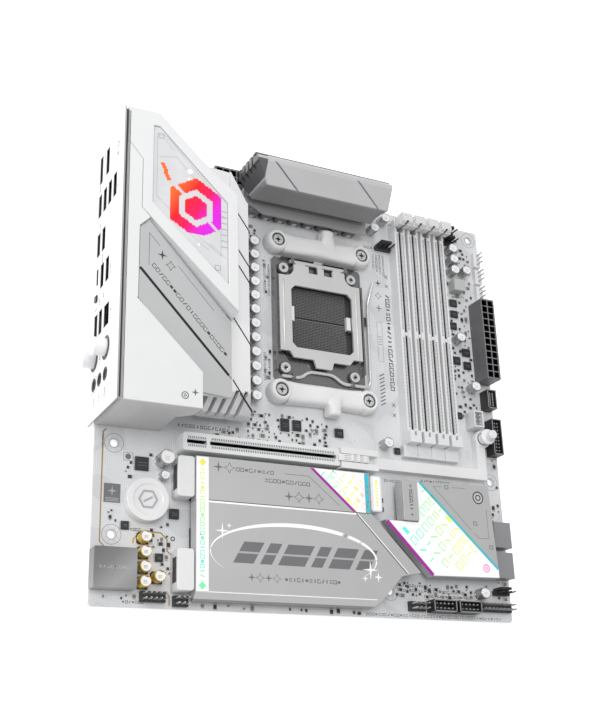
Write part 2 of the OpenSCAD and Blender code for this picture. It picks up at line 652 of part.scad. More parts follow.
module pin_headers() color("dimgray") {
    fan_header(214.2, 4.4);
    fan_header(214.2, 11);
    fan_header(167.4, 24.4);
    fan_header(231.6, 227);
    pin_row(24.7, 236.2, 5, 2, 2.54, 2.5, 8.4);
    pin_row(41.4, 237.8, 3, 2, 2.54, 2.5, 8.4);
    pin_row(175.4, 235, 4, 2, 2.54, 2.5, 8.4);
    pin_row(219.6, 233.8, 9, 2, 2.54, 2.5, 8.4);
    for (d = [16, 27.6, 39]) {
        block(238.4, d, 243.4, d + 9.6, 0, 3);
        for (i = [0:2]) pin(240.7, d + 1.9 + i * 2.9, 3, 9);
    }
    box_header(223.6, 123.6, 230.4, 133.6, 9, 2, 3, 2.54);
}

module chips() color("dimgray") {
    for (c = chip_list) block(c[0] - c[2] / 2, c[1] - c[3] / 2, c[0] + c[2] / 2, c[1] + c[3] / 2, 0, c[4]);
    block(5.2, 87.6, 9, 96.6, 0, 6.4);
}

circuit_board();
socket_backplate();
socket_housing();
socket_contacts();
socket_frame();
load_plate();
socket_lever();
socket_screws();
cooler_bracket_upper();
cooler_bracket_lower();
cooler_bracket_screws();
dimm_slot_1();
dimm_slot_2();
dimm_slot_3();
dimm_slot_4();
dimm_latch_1();
dimm_latch_2();
dimm_latch_3();
dimm_latch_4();
main_power_socket();
cpu_power_socket();
pcie_slot();
pcie_latch();
pcie_release_button();
pcie_release_channel();
m2_cover_upper();
m2_cover_lower();
m2_end_blocks();
m2_connectors();
m2_latch_1();
m2_latch_2();
thermal_pads();
heatsink_screws();
chipset_heatsink();
chipset();
vrm_heatsink_upper();
vrm_heatsink_rear();
vrm_power_stages();
vrm_chokes();
shroud_body();
shroud_trim_panel();
shroud_window_frame();
light_panel();
io_shield();
usb_ports();
network_port();
display_ports();
audio_jacks();
antenna_connectors();
bios_button();
cmos_button();
audio_shield();
capacitors();
audio_capacitors();
battery_cover();
coin_cell();
sata_ports();
front_usb_headers();
pin_headers();
chips();
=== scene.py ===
import json
import math
import random

import bmesh
import bpy
from mathutils import Matrix, Vector


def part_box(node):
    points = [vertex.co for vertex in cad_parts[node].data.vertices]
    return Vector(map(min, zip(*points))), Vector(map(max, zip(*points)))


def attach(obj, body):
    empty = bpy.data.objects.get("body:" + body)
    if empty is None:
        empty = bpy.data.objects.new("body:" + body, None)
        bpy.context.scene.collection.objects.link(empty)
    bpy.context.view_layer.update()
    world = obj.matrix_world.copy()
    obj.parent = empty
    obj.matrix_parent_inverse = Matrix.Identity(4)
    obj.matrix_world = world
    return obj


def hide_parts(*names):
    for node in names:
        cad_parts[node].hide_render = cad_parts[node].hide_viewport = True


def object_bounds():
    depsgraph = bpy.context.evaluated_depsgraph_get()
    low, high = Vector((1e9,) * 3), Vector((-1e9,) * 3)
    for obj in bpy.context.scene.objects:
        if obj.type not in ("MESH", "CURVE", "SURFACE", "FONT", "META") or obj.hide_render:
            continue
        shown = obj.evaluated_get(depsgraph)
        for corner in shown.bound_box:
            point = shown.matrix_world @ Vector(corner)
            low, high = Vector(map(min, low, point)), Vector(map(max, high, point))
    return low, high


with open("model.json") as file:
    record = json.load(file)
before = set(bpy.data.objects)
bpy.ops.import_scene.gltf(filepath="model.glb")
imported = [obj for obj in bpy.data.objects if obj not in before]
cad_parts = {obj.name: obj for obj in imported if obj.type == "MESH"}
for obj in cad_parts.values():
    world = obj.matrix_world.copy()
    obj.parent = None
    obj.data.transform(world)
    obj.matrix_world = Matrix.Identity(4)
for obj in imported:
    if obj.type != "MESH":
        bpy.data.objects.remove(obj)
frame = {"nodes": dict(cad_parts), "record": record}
cad_box = [list(corner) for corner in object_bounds()]
scene = bpy.context.scene

# ---------------------------------------------------------------- board places
# Places are board millimetres: x from the rear edge, d down from the top edge, z above the component side.
MM = 0.001
BOARD_LOW, BOARD_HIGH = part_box("circuit_board")
DATUM_X = -BOARD_LOW.x / MM
DATUM_D = BOARD_HIGH.y / MM
BOARD_T = BOARD_HIGH.z / MM
PRINT = 0.05  # half the thickness of printed marks


def spot(x, d, z=0.0):
    return Vector(((x - DATUM_X) * MM, (DATUM_D - d) * MM, (z + BOARD_T) * MM))


def board_mm(point):
    return point.x / MM + DATUM_X, DATUM_D - point.y / MM, point.z / MM - BOARD_T


def extent(node):
    """x0, d0, x1, d1, z0, z1 of a CAD node in board millimetres."""
    low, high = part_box(node)
    x0, d1, z0 = board_mm(low)
    x1, d0, z1 = board_mm(high)
    return x0, d0, x1, d1, z0, z1


def islands(node):
    """The extent of each separate solid in a CAD node, in board millimetres."""
    mesh = frame["nodes"][node].data
    keys = [tuple(round(c, 6) for c in v.co) for v in mesh.vertices]
    parent = {k: k for k in keys}

    def root(k):
        while parent[k] != k:
            parent[k] = parent[parent[k]]
            k = parent[k]
        return k

    for face in mesh.polygons:
        first = root(keys[face.vertices[0]])
        for i in face.vertices[1:]:
            parent[root(keys[i])] = first
    groups = {}
    for k in parent:
        groups.setdefault(root(k), []).append(board_mm(Vector(k)))
    boxes = []
    for points in groups.values():
        xs, ds, zs = zip(*points)
        boxes.append((min(xs), min(ds), max(xs), max(ds), min(zs), max(zs)))
    return sorted(boxes)


def slope(node, thickness):
    """Places on a roof panel that falls evenly as x grows."""
    x0, _, x1, _, z0, z1 = extent(node)
    fall = (z1 - z0 - thickness) / (x1 - x0)
    return lambda x, d, z=0.0: spot(x, d, z1 - (x - x0) * fall + z)


# ---------------------------------------------------------------- mesh building
class Build:
    """Closed shapes gathered in one mesh. kind picks the material of each shape."""

    def __init__(self, place=spot):
        self.place = place
        self.points, self.faces, self.kinds = [], [], []

    def shape(self, points, faces, kind=0):
        start = len(self.points)
        self.points += [self.place(*p) for p in points]
        self.faces += [[start + i for i in f] for f in faces]
        self.kinds += [kind] * len(faces)

    def prism(self, outline, z0, z1, kind=0, top=None):
        n = len(outline)
        points = [(x, d, z0) for x, d in outline] + [(x, d, z1) for x, d in (top or outline)]
        sides = [[i, (i + 1) % n, n + (i + 1) % n, n + i] for i in range(n)]
        self.shape(points, [list(range(n))[::-1], list(range(n, 2 * n))] + sides, kind)

    def box(self, x0, d0, x1, d1, z0, z1, kind=0, c=0.0):
        """A box; c cuts its top edges back."""
        if not c:
            self.prism([(x0, d0), (x1, d0), (x1, d1), (x0, d1)], z0, z1, kind)
            return
        outer = [(x0, d0), (x1, d0), (x1, d1), (x0, d1)]
        inner = [(x0 + c, d0 + c), (x1 - c, d0 + c), (x1 - c, d1 - c), (x0 + c, d1 - c)]
        rings = [(outer, z0), (outer, z1 - c), (inner, z1)]
        points = [(x, d, z) for ring, z in rings for x, d in ring]
        faces = [[3, 2, 1, 0], [8, 9, 10, 11]]
        for base in (0, 4):
            faces += [[base + i, base + (i + 1) % 4, base + 4 + (i + 1) % 4, base + 4 + i] for i in range(4)]
        self.shape(points, faces, kind)

    def disc(self, x, d, r, z0, z1, kind=0, n=24, top_r=None):
        turn = [(math.cos(2 * math.pi * i / n), math.sin(2 * math.pi * i / n)) for i in range(n)]
        upper = r if top_r is None else top_r
        self.prism([(x + r * c, d + r * s) for c, s in turn], z0, z1, kind,
                   [(x + upper * c, d + upper * s) for c, s in turn])

    def patch(self, x0, d0, x1, d1, z, kind=0):
        """A printed rectangle on the face at z."""
        self.box(x0, d0, x1, d1, z - PRINT, z + PRINT, kind)

    def stroke(self, path, width, z, kind=0, closed=False):
        """A printed line on the face at z."""
        self.line(path, width, z - PRINT, z + PRINT, kind, closed)

    def ring(self, x, d, r0, r1, z0, z1, kind=0, n=40):
        self.spin(x, d, [(r0, z0), (r1, z0), (r1, z1), (r0, z1)], kind, n, closed=True)

    def spin(self, x, d, profile, kind=0, n=32, closed=False):
        """A turned shape. An open profile starts and ends on the axis."""
        points, faces, m = [], [], len(profile)
        for i in range(n):
            a = 2 * math.pi * i / n
            points += [(x + r * math.cos(a), d + r * math.sin(a), z) for r, z in profile]
        for i in range(n):
            j = (i + 1) % n
            for k in range(m if closed else m - 1):
                k2 = (k + 1) % m
                faces.append([i * m + k, i * m + k2, j * m + k2, j * m + k])
        self.shape(points, faces, kind)

    def line(self, path, width, z0, z1, kind=0, closed=False):
        """A strip along a path, mitred at its bends."""
        n, left, right = len(path), [], []
        for i in range(n):
            a = path[i - 1] if i or closed else None
            b = path[(i + 1) % n] if i < n - 1 or closed else None
            steps = []
            for p, q in ((a, path[i]), (path[i], b)):
                if p is not None and q is not None:
                    v = Vector((q[0] - p[0], q[1] - p[1])).normalized()
                    steps.append(Vector((-v.y, v.x)))
            m = steps[0] + steps[-1]
            m *= width / max(m.length_squared, 0.2)
            left.append((path[i][0] + m.x, path[i][1] + m.y))
            right.append((path[i][0] - m.x, path[i][1] - m.y))
        for i in range(n if closed else n - 1):
            j = (i + 1) % n
            self.prism([left[i], left[j], right[j], right[i]], z0, z1, kind)

    def tube(self, path, r, kind=0, n=12):
        """A round bar through 3-D points, with flat ends."""
        points = [self.place(*p) for p in path]
        start, normal = len(self.points), None
        for i, p in enumerate(points):
            ahead = (points[min(i + 1, len(points) - 1)] - points[max(i - 1, 0)]).normalized()
            side = ahead.orthogonal() if normal is None else normal - ahead * normal.dot(ahead)
            normal = side.normalized()
            across = ahead.cross(normal)
            for k in range(n):
                a = 2 * math.pi * k / n
                self.points.append(p + (normal * math.cos(a) + across * math.sin(a)) * r * MM)
        faces = [list(range(n))[::-1], list(range((len(points) - 1) * n, len(points) * n))]
        for i in range(len(points) - 1):
            for k in range(n):
                k2 = (k + 1) % n
                faces.append([i * n + k, i * n + k2, (i + 1) * n + k2, (i + 1) * n + k])
        self.faces += [[start + i for i in f] for f in faces]
        self.kinds += [kind] * len(faces)

    def loft(self, rings, kind=0):
        """A closed skin through rings of equal length, with flat ends."""
        n, points = len(rings[0]), [p for ring in rings for p in ring]
        last = (len(rings) - 1) * n
        faces = [list(range(n))[::-1], list(range(last, last + n))]
        for i in range(len(rings) - 1):
            for k in range(n):
                k2 = (k + 1) % n
                faces.append([i * n + k, i * n + k2, (i + 1) * n + k2, (i + 1) * n + k])
        self.shape(points, faces, kind)

    def piece(self, name, materials, body="board", replaces=(), crease=35, bevel=0.0):
        mesh = bpy.data.meshes.new(name)
        mesh.from_pydata(self.points, [], self.faces)
        for m in materials:
            mesh.materials.append(m)
        mesh.polygons.foreach_set("material_index", self.kinds)
        bm = bmesh.new()
        bm.from_mesh(mesh)
        bmesh.ops.remove_doubles(bm, verts=bm.verts, dist=1e-8)
        bmesh.ops.recalc_face_normals(bm, faces=bm.faces)
        bm.to_mesh(mesh)
        bm.free()
        mesh.polygons.foreach_set("use_smooth", [True] * len(mesh.polygons))
        mesh.set_sharp_from_angle(angle=math.radians(crease))
        o = bpy.data.objects.new(name, mesh)
        scene.collection.objects.link(o)
        if bevel:
            soften(o, bevel, crease)
        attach(o, body)
        if replaces:
            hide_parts(*replaces)
        return o


def soften(o, width, angle):
    """Rounds an object's edges, as moulding and machining leave them."""
    cut = o.modifiers.new("edges", "BEVEL")
    cut.width = width * MM
    cut.segments = 2
    cut.limit_method = "ANGLE"
    cut.angle_limit = math.radians(angle)
    even = o.modifiers.new("normals", "WEIGHTED_NORMAL")
    even.keep_sharp = True
    even.weight = 100


# ---------------------------------------------------------------- materials
MOTTLE_SIZE = 18.0  # millimetres of slow colour drift
ROUGH_SPREAD = 0.06  # how far the grain moves the roughness each way


def nodes_of(name):
    """A new material, its node tree and its shader."""
    m = bpy.data.materials.new(name)
    m.use_nodes = True
    tree = m.node_tree
    return m, tree, tree.nodes["Principled BSDF"]


def feed(tree, node, sockets):
    """Sets a node's inputs. Each is a value or another node's output."""
    for key, value in sockets.items():
        if isinstance(value, bpy.types.NodeSocket):
            tree.links.new(value, node.inputs[key])
        else:
            node.inputs[key].default_value = value


def add(tree, kind, sockets=None, **settings):
    node = tree.nodes.new(kind)
    for key, value in settings.items():
        setattr(node, key, value)
    feed(tree, node, sockets or {})
    return node


def calculate(tree, operation, *values):
    return add(tree, "ShaderNodeMath", dict(enumerate(values)), operation=operation).outputs[0]


def places(tree):
    """The part's own coordinates, so a texture stays fixed to it."""
    return add(tree, "ShaderNodeTexCoord").outputs["Object"]


def tint(color, factor):
    return [min(1.0, c * factor) for c in color[:3]] + [1.0]


def noise(tree, size, stretch=(1, 1, 1), detail=3.0):
    """Noise with features of that size in millimetres."""
    scaled = add(tree, "ShaderNodeMapping", {"Scale": stretch, "Vector": places(tree)}).outputs["Vector"]
    sockets = {"Scale": 1 / (size * MM), "Detail": detail, "Vector": scaled}
    return add(tree, "ShaderNodeTexNoise", sockets).outputs["Fac"]


def spread(tree, source, low, high):
    """A 0.3 to 0.7 signal spread over low to high."""
    sockets = {"From Min": 0.3, "From Max": 0.7, "To Min": low, "To Max": high, "Value": source}
    return add(tree, "ShaderNodeMapRange", sockets).outputs["Result"]


def blend_colors(tree, factor, a, b, how="MIX"):
    sockets = {0: factor, 6: a, 7: b}
    return add(tree, "ShaderNodeMix", sockets, data_type="RGBA", blend_type=how).outputs[2]


def bumps(tree, height, strength, depth):
    """Normals of a face raised by height, at most depth millimetres."""
    sockets = {"Strength": strength, "Distance": depth * MM, "Height": height}
    return add(tree, "ShaderNodeBump", sockets).outputs["Normal"]


def within(tree, x0, d0, x1, d1, z0, z1):
    """1 inside a block of board places, else 0."""
    axes = add(tree, "ShaderNodeSeparateXYZ", {0: places(tree)}).outputs
    low, high = spot(x0, d1, z0), spot(x1, d0, z1)
    near = [calculate(tree, "COMPARE", axes[i], (low[i] + high[i]) / 2, (high[i] - low[i]) / 2)
            for i in range(3)]
    return calculate(tree, "MULTIPLY", calculate(tree, "MULTIPLY", near[0], near[1]), near[2])


def surface(name, color, rough, metal=0.0, grain=0.01, grain_size=0.35, mottle=0.03, stretch=(1, 1, 1),
            coat=0.0, glow=0.0, zones=()):
    """A finish with grain that bumps and dulls it, and slow drift in its colour.

    zones: board rectangles and heights (x0, d0, x1, d1, z0, z1, colour) in another colour: some are parts
    moulded in that colour, others are painted shade on faces turned from the light and inside recesses."""
    m, tree, bsdf = nodes_of(name)
    fine = noise(tree, grain_size, stretch)
    shade = spread(tree, noise(tree, MOTTLE_SIZE), 0.0, 1.0)
    wide = blend_colors(tree, shade, tint(color, 1 - mottle), tint(color, 1 + mottle))
    for *block, other in zones:
        wide = blend_colors(tree, within(tree, *block), wide, tint(other, 1))
    speck = blend_colors(tree, spread(tree, fine, 0.0, 1.0), [0.86, 0.86, 0.86, 1], [1, 1, 1, 1])
    paint = blend_colors(tree, min(1.0, mottle * 4), wide, speck, "MULTIPLY")
    feed(tree, bsdf, {"Base Color": paint, "Metallic": metal, "Coat Weight": coat,
                      "Roughness": spread(tree, fine, rough - ROUGH_SPREAD, rough + ROUGH_SPREAD),
                      "Normal": bumps(tree, fine, 0.6, grain)})
    if glow:
        feed(tree, bsdf, {"Emission Color": paint, "Emission Strength": glow})
    return m


def graded(name, stops, start, end, rough=0.4, glow=0.0):
    """Ink whose colour runs through stops between two board places."""
    m, tree, bsdf = nodes_of(name)
    a, b = spot(*start), spot(*end)
    step = b - a
    along = add(tree, "ShaderNodeVectorMath", {0: places(tree), 1: step / step.length_squared},
                operation="DOT_PRODUCT").outputs["Value"]
    shift = calculate(tree, "SUBTRACT", along, a.dot(step) / step.length_squared)
    ramp = add(tree, "ShaderNodeValToRGB", {"Fac": shift})
    ramp.color_ramp.elements[0].color = (*stops[0], 1)
    ramp.color_ramp.elements[1].color = (*stops[-1], 1)
    for i, stop in enumerate(stops[1:-1], 1):
        ramp.color_ramp.elements.new(i / (len(stops) - 1)).color = (*stop, 1)
    fine = noise(tree, 0.5)
    speck = blend_colors(tree, fine, [0.8, 0.8, 0.8, 1], [1, 1, 1, 1])
    paint = blend_colors(tree, 0.12, ramp.outputs["Color"], speck, "MULTIPLY")
    feed(tree, bsdf, {"Base Color": paint, "Roughness": spread(tree, fine, rough - 0.05, rough + 0.05)})
    if glow:
        feed(tree, bsdf, {"Emission Color": paint, "Emission Strength": glow})
    return m


def solder_mask():
    """White mask over copper: bundles of diagonal and straight traces, and small dark vias."""
    m, tree, bsdf = nodes_of("solder_mask")
    where = places(tree)
    region = noise(tree, 26.0, detail=1.0)
    tracks = []
    for angle, low in ((0.0, 0.52), (45.0, 0.56), (90.0, 0.54)):
        sockets = {"Rotation": (0, 0, math.radians(angle)), "Location": (angle, angle, 0), "Vector": where}
        turned = add(tree, "ShaderNodeMapping", sockets).outputs["Vector"]
        wave = add(tree, "ShaderNodeTexWave", {"Scale": 1 / (3.2 * MM), "Distortion": 0.0, "Vector": turned})
        patch = add(tree, "ShaderNodeTexNoise", {"Scale": 1 / (21.0 * MM), "Detail": 0.0, "Vector": turned})
        inside = calculate(tree, "GREATER_THAN", patch.outputs["Fac"], low)
        tracks.append(calculate(tree, "MULTIPLY", wave.outputs["Fac"], inside))
    copper = calculate(tree, "MAXIMUM", calculate(tree, "MAXIMUM", tracks[0], tracks[1]), tracks[2])
    vias = add(tree, "ShaderNodeTexVoronoi", {"Scale": 1 / (3.4 * MM), "Vector": where})
    dot = calculate(tree, "LESS_THAN", vias.outputs["Distance"], 0.07)
    via = calculate(tree, "MULTIPLY", dot, calculate(tree, "GREATER_THAN", region, 0.5))
    base = blend_colors(tree, spread(tree, region, 0.0, 1.0), [0.60, 0.61, 0.63, 1], [0.66, 0.67, 0.685, 1])
    tracked = blend_colors(tree, copper, base, [0.74, 0.745, 0.755, 1])
    feed(tree, bsdf, {"Base Color": blend_colors(tree, via, tracked, [0.34, 0.34, 0.35, 1]),
                      "Normal": bumps(tree, copper, 0.5, 0.035), "Roughness": spread(tree, region, 0.4, 0.5)})
    return m


def clear_panel():
    """Glossy frosted panel, pale gray with a slow drift in its colour."""
    m, tree, bsdf = nodes_of("frosted_panel")
    shade = spread(tree, noise(tree, 14.0), 0.0, 1.0)
    feed(tree, bsdf, {"Base Color": blend_colors(tree, shade, [0.66, 0.665, 0.68, 1], [0.74, 0.74, 0.755, 1]),
                      "Roughness": spread(tree, noise(tree, 0.4), 0.10, 0.2), "Coat Weight": 0.3})
    return m


MASK = solder_mask()
PANEL = clear_panel()
WHITE_PLASTIC = surface("moulded_white", (0.79, 0.79, 0.795), 0.42, grain=0.008, grain_size=0.8)
SLOT_WHITE = surface("slot_white", (0.76, 0.765, 0.77), 0.48, grain=0.006, grain_size=0.6)
GLOSS_WHITE = surface("gloss_white", (0.82, 0.82, 0.83), 0.22, grain=0.004, grain_size=1.4, coat=0.4)
# cover_white: the zone darkens the shroud body's end face, d 155 to 160, as painted shade on the side turned
# from the light.
COVER_WHITE = surface("cover_white", (0.77, 0.773, 0.78), 0.40, grain=0.006, grain_size=0.6, mottle=0.015,
                      zones=[(-1, 155.0, 60, 160, -1, 42, (0.52, 0.52, 0.525))])
COATED = surface("powder_coat", (0.76, 0.76, 0.77), 0.42, grain=0.012, grain_size=0.6, mottle=0.015)
# shield_white: the first zone paints the inside of the shield, behind its outer face, near-black as painted
# shade in its openings; the other zones paint the narrow faces along its top and end edges gray as painted
# shade.
SHIELD_WHITE = surface("shield_white", (0.79, 0.79, 0.80), 0.4, grain=0.008, grain_size=0.6, mottle=0.01,
                       zones=[(-2.25, -2.6, 2, 128, -5, 42, (0.012, 0.012, 0.012)),
                              (-2.25, -4, 2, 156, 41.9, 43, (0.25, 0.25, 0.25)),
                              (-1.95, -4, 2, 156, 41.9, 43, (0.50, 0.50, 0.50)),
                              (-2.25, 154.9, 2, 156, -6, 43, (0.25, 0.25, 0.25))])
# blasted_alloy: the zone darkens the lower drive cover's bottom bevel, d 239.7 to 241, as painted shade on
# the face turned from the light.
BLASTED = surface("blasted_alloy", (0.54, 0.54, 0.545), 0.42, 0.35, grain=0.012, grain_size=0.3,
                  mottle=0.02, zones=[(48, 239.7, 150.4, 241, -1, 20, (0.24, 0.24, 0.245))])
# fin_alloy: the zones darken the upper regulator heatsink's left end, rear face, front wall and lower skirt
# against its top, as painted shade on the sides turned from the light.
FIN_ALLOY = surface("fin_alloy", (0.60, 0.60, 0.61), 0.38, 0.3, grain=0.012, grain_size=0.45,
                    stretch=(0.03, 1, 1), mottle=0.02,
                    zones=[(70, 2, 79, 24, 12, 40.2, (0.13, 0.13, 0.135)),
                           (70, 2, 158, 5.6, 5, 39.6, (0.20, 0.20, 0.205)),
                           (79, 17, 158, 19.25, 13.5, 33.4, (0.36, 0.36, 0.365)),
                           (76, 13, 158, 24, -1, 9.4, (0.42, 0.42, 0.425))])
TRIM_ALLOY = surface("trim_alloy", (0.60, 0.605, 0.61), 0.34, 0.25, grain=0.003, grain_size=0.3, mottle=0.012)
STEEL = surface("nickel_steel", (0.74, 0.74, 0.735), 0.36, 0.5, grain=0.0015, grain_size=0.6)
# The socket frame's steel is painted dark, as painted shade for the shadowed gaps round the load plate.
SHADED_FRAME_STEEL = surface("frame_steel_painted_shade", (0.27, 0.27, 0.275), 0.25, 0.85, grain=0.002, grain_size=0.8)
BRIGHT_STEEL = surface("bright_steel", (0.84, 0.84, 0.84), 0.2, 0.7, grain=0.001, grain_size=0.8)
DARK_STEEL = surface("dark_steel", (0.12, 0.12, 0.125), 0.32, 0.8, grain=0.002, grain_size=0.5)
TIN = surface("tin", (0.60, 0.60, 0.59), 0.32, 0.8, grain=0.002, grain_size=0.3)
CONTACT = surface("sprung_contact", (0.50, 0.50, 0.49), 0.35, 0.7, grain=0.002, grain_size=0.3)
GOLD = surface("gold", (0.42, 0.27, 0.07), 0.3, 0.5, grain=0.002, grain_size=0.5)
GOLD_SLEEVE = surface("gold_sleeve", (0.70, 0.47, 0.07), 0.26, 0.55, grain=0.002, grain_size=0.6, coat=0.4)
CAN = surface("capacitor_can", (0.46, 0.465, 0.47), 0.28, 0.75, grain=0.002, grain_size=0.4)
CAN_TOP = surface("capacitor_top", (0.88, 0.88, 0.885), 0.4, 0.05, grain=0.004, grain_size=0.4)
BLACK = surface("black_plastic", (0.018, 0.018, 0.02), 0.45, grain=0.006, mottle=0.1)
HEADER_BLACK = surface("header_plastic", (0.02, 0.02, 0.022), 0.45, grain=0.006, mottle=0.1,
                       zones=[(236, 10, 246, 50, -1, 3.2, (0.80, 0.80, 0.81)),
                              (223, 123, 231, 134, -1, 10, (0.72, 0.73, 0.74)),
                              (236, 10, 246, 50, 3.2, 12, (0.45, 0.45, 0.45))])
CHIP_BLACK = surface("chip_resin", (0.022, 0.022, 0.024), 0.5, grain=0.008, grain_size=0.2, mottle=0.12,
                     zones=[(219, 38, 227.5, 46.6, -1, 8, (0.50, 0.50, 0.50))])


def socket_well_shade(node):
    """Painted shade inside a power socket: its cells, within its gray wall, drawn near-black."""
    x0, d0, x1, d1, _, z1 = extent(node)
    wall = 0.45
    return x0 + wall, d0 + wall, x1 - wall, d1 - wall, 2, z1 - 0.25, (0.006, 0.006, 0.006)


# gray_plastic: its zones paint the insides of the power sockets near-black as painted shade.
GRAY_PLASTIC = surface("gray_plastic", (0.125, 0.125, 0.13), 0.45, grain=0.006, grain_size=0.4,
                       zones=[socket_well_shade("main_power_socket"), socket_well_shade("cpu_power_socket")])
SOCKET_GRAY = surface("socket_gray", (0.05, 0.05, 0.052), 0.5, grain=0.006, grain_size=0.4)
RIM_GRAY = surface("gray_rim", (0.30, 0.30, 0.31), 0.45, grain=0.004, grain_size=0.4)
SATA_GRAY = surface("sata_gray", (0.27, 0.27, 0.28), 0.48, grain=0.008, grain_size=0.4)
FERRITE = surface("ferrite", (0.16, 0.16, 0.165), 0.55, 0.1, grain=0.02, mottle=0.08)
PAD = surface("thermal_pad", (0.45, 0.52, 0.60), 0.85, grain=0.03, grain_size=0.8)
# The white, magenta and cyan inks glow faintly in their own colour: painted light.
INK_BLACK, INK_DARK, INK_MID, INK_PALE, INK_WHITE, MAGENTA, CYAN = (
    surface("ink_" + name, color, rough, grain=0.002, glow=glow) for name, color, rough, glow in (
        ("black", (0.012, 0.012, 0.014), 0.4, 0), ("dark", (0.05, 0.05, 0.055), 0.5, 0),
        ("mid", (0.17, 0.17, 0.18), 0.5, 0), ("pale", (0.42, 0.42, 0.44), 0.5, 0),
        ("white", (0.92, 0.92, 0.93), 0.4, 0.12), ("magenta", (0.36, 0.02, 0.33), 0.35, 0.1),
        ("cyan", (0.06, 0.50, 0.60), 0.35, 0.1)))
RESISTOR = surface("resistor_body", (0.03, 0.03, 0.035), 0.4, grain=0.004)
CERAMIC = surface("ceramic_body", (0.20, 0.19, 0.17), 0.45, grain=0.004)
GASKET = surface("foam_gasket", (0.05, 0.05, 0.052), 0.7, 0.2, grain=0.05, grain_size=0.5)
SEAM_GRAY = surface("seam_gray", (0.33, 0.33, 0.34), 0.4, 0.2, grain=0.004)
# The pastel inks glow in their own colours: painted light.
PASTEL = graded("pastel_marks", [(0.95, 0.50, 0.25), (0.85, 0.80, 0.12), (0.40, 0.85, 0.25),
                                 (0.10, 0.80, 0.60)],
                (222, 196, 10), (178, 206, 10), glow=0.35)
PASTEL_SMALL = graded("pastel_small", [(0.10, 0.75, 0.72), (0.35, 0.85, 0.45), (0.80, 0.80, 0.15),
                                       (0.9, 0.5, 0.5)],
                      (118, 180, 11), (146, 180, 11), glow=0.35)
PASTEL_STRIPE = graded("pastel_stripe", [(0.80, 0.75, 0.12), (0.62, 0.80, 0.12), (0.25, 0.80, 0.30),
                                         (0.10, 0.72, 0.62), (0.20, 0.80, 0.35)],
                       (52, 171, 11), (52, 236, 11), glow=0.2)
# The pink ink glows faintly: painted light.
PINK = surface("ink_pink", (0.85, 0.28, 0.60), 0.4, grain=0.004, glow=0.2)
MOTIF = graded("lit_motif", [(0.90, 0.12, 0.02), (0.85, 0.005, 0.01), (0.85, 0.0, 0.10), (0.62, 0.01, 0.62)],
               (26, 38, 41), (46, 51, 41), rough=0.3, glow=0.3)
SHIELD_CAN = graded("shield_can", [(0.14, 0.14, 0.145), (0.20, 0.20, 0.205), (0.34, 0.34, 0.345),
                                   (0.24, 0.24, 0.245)],
                    (0, 217, 8), (20, 238, 8), rough=0.38)


# ---------------------------------------------------------------- CAD pieces
# material, edge rounding in millimetres, smallest angle rounded in degrees, and the nodes that have them
FINISHES = (
    (MASK, 0.05, 40, "circuit_board"),
    (DARK_STEEL, 0.3, 30, "socket_backplate"),
    (SOCKET_GRAY, 0.15, 30, "socket_housing"),
    (SHADED_FRAME_STEEL, 0.18, 30, "socket_frame"),
    (STEEL, 0.3, 30, "load_plate"),
    (BRIGHT_STEEL, 0.2, 30, "socket_screws"),
    (WHITE_PLASTIC, 1.6, 30, "cooler_bracket_upper cooler_bracket_lower"),
    (BRIGHT_STEEL, 0.3, 30, "cooler_bracket_screws"),
    (GRAY_PLASTIC, 0.12, 30, "main_power_socket cpu_power_socket"),
    (SLOT_WHITE, 0.25, 30, "pcie_slot"),
    (WHITE_PLASTIC, 0.3, 30, "pcie_latch"),
    (WHITE_PLASTIC, 0.5, 30, "pcie_release_channel dimm_latch_1 dimm_latch_2 dimm_latch_3 dimm_latch_4"),
    (BLASTED, 0.4, 20, "m2_cover_upper"),
    (BLASTED, 0.6, 20, "m2_cover_lower"),
    (WHITE_PLASTIC, 0.4, 30, "m2_end_blocks"),
    (BLACK, 0.15, 30, "m2_connectors"),
    (WHITE_PLASTIC, 0.25, 30, "m2_latch_1 m2_latch_2"),
    (PAD, 0.2, 30, "thermal_pads"),
    (STEEL, 0.2, 30, "heatsink_screws"),
    (BLASTED, 0.35, 20, "chipset_heatsink"),
    (CHIP_BLACK, 0.15, 30, "chipset chips"),
    (FIN_ALLOY, 0.35, 12, "vrm_heatsink_upper"),
    (COATED, 0.4, 20, "vrm_heatsink_rear"),
    (CHIP_BLACK, 0.1, 30, "vrm_power_stages"),
    (FERRITE, 0.35, 30, "vrm_chokes"),
    (COVER_WHITE, 0.5, 8, "shroud_body"),
    (TRIM_ALLOY, 0.3, 8, "shroud_trim_panel"),
    (COVER_WHITE, 0.45, 20, "shroud_window_frame"),
    (PANEL, 0.2, 30, "light_panel"),
    (SHIELD_WHITE, 0.12, 30, "io_shield"),
    (BLACK, 0.12, 30, "usb_ports network_port display_ports front_usb_headers"),
    (SLOT_WHITE, 0.2, 30, "audio_jacks dimm_slot_1 dimm_slot_2 dimm_slot_3 dimm_slot_4"),
    (GLOSS_WHITE, 0.5, 40, "antenna_connectors"),
    (BLACK, 0.3, 30, "bios_button"),
    (GLOSS_WHITE, 0.3, 30, "cmos_button"),
    (SHIELD_CAN, 0.35, 30, "audio_shield"),
    (GLOSS_WHITE, 0.4, 40, "battery_cover"),
    (BRIGHT_STEEL, 0.4, 40, "coin_cell"),
    (SATA_GRAY, 0.25, 30, "sata_ports"),
    (HEADER_BLACK, 0.12, 30, "pin_headers"),
    (GLOSS_WHITE, 0.7, 40, "pcie_release_button"),
    (BLACK, 0.05, 30, "socket_contacts"),
)


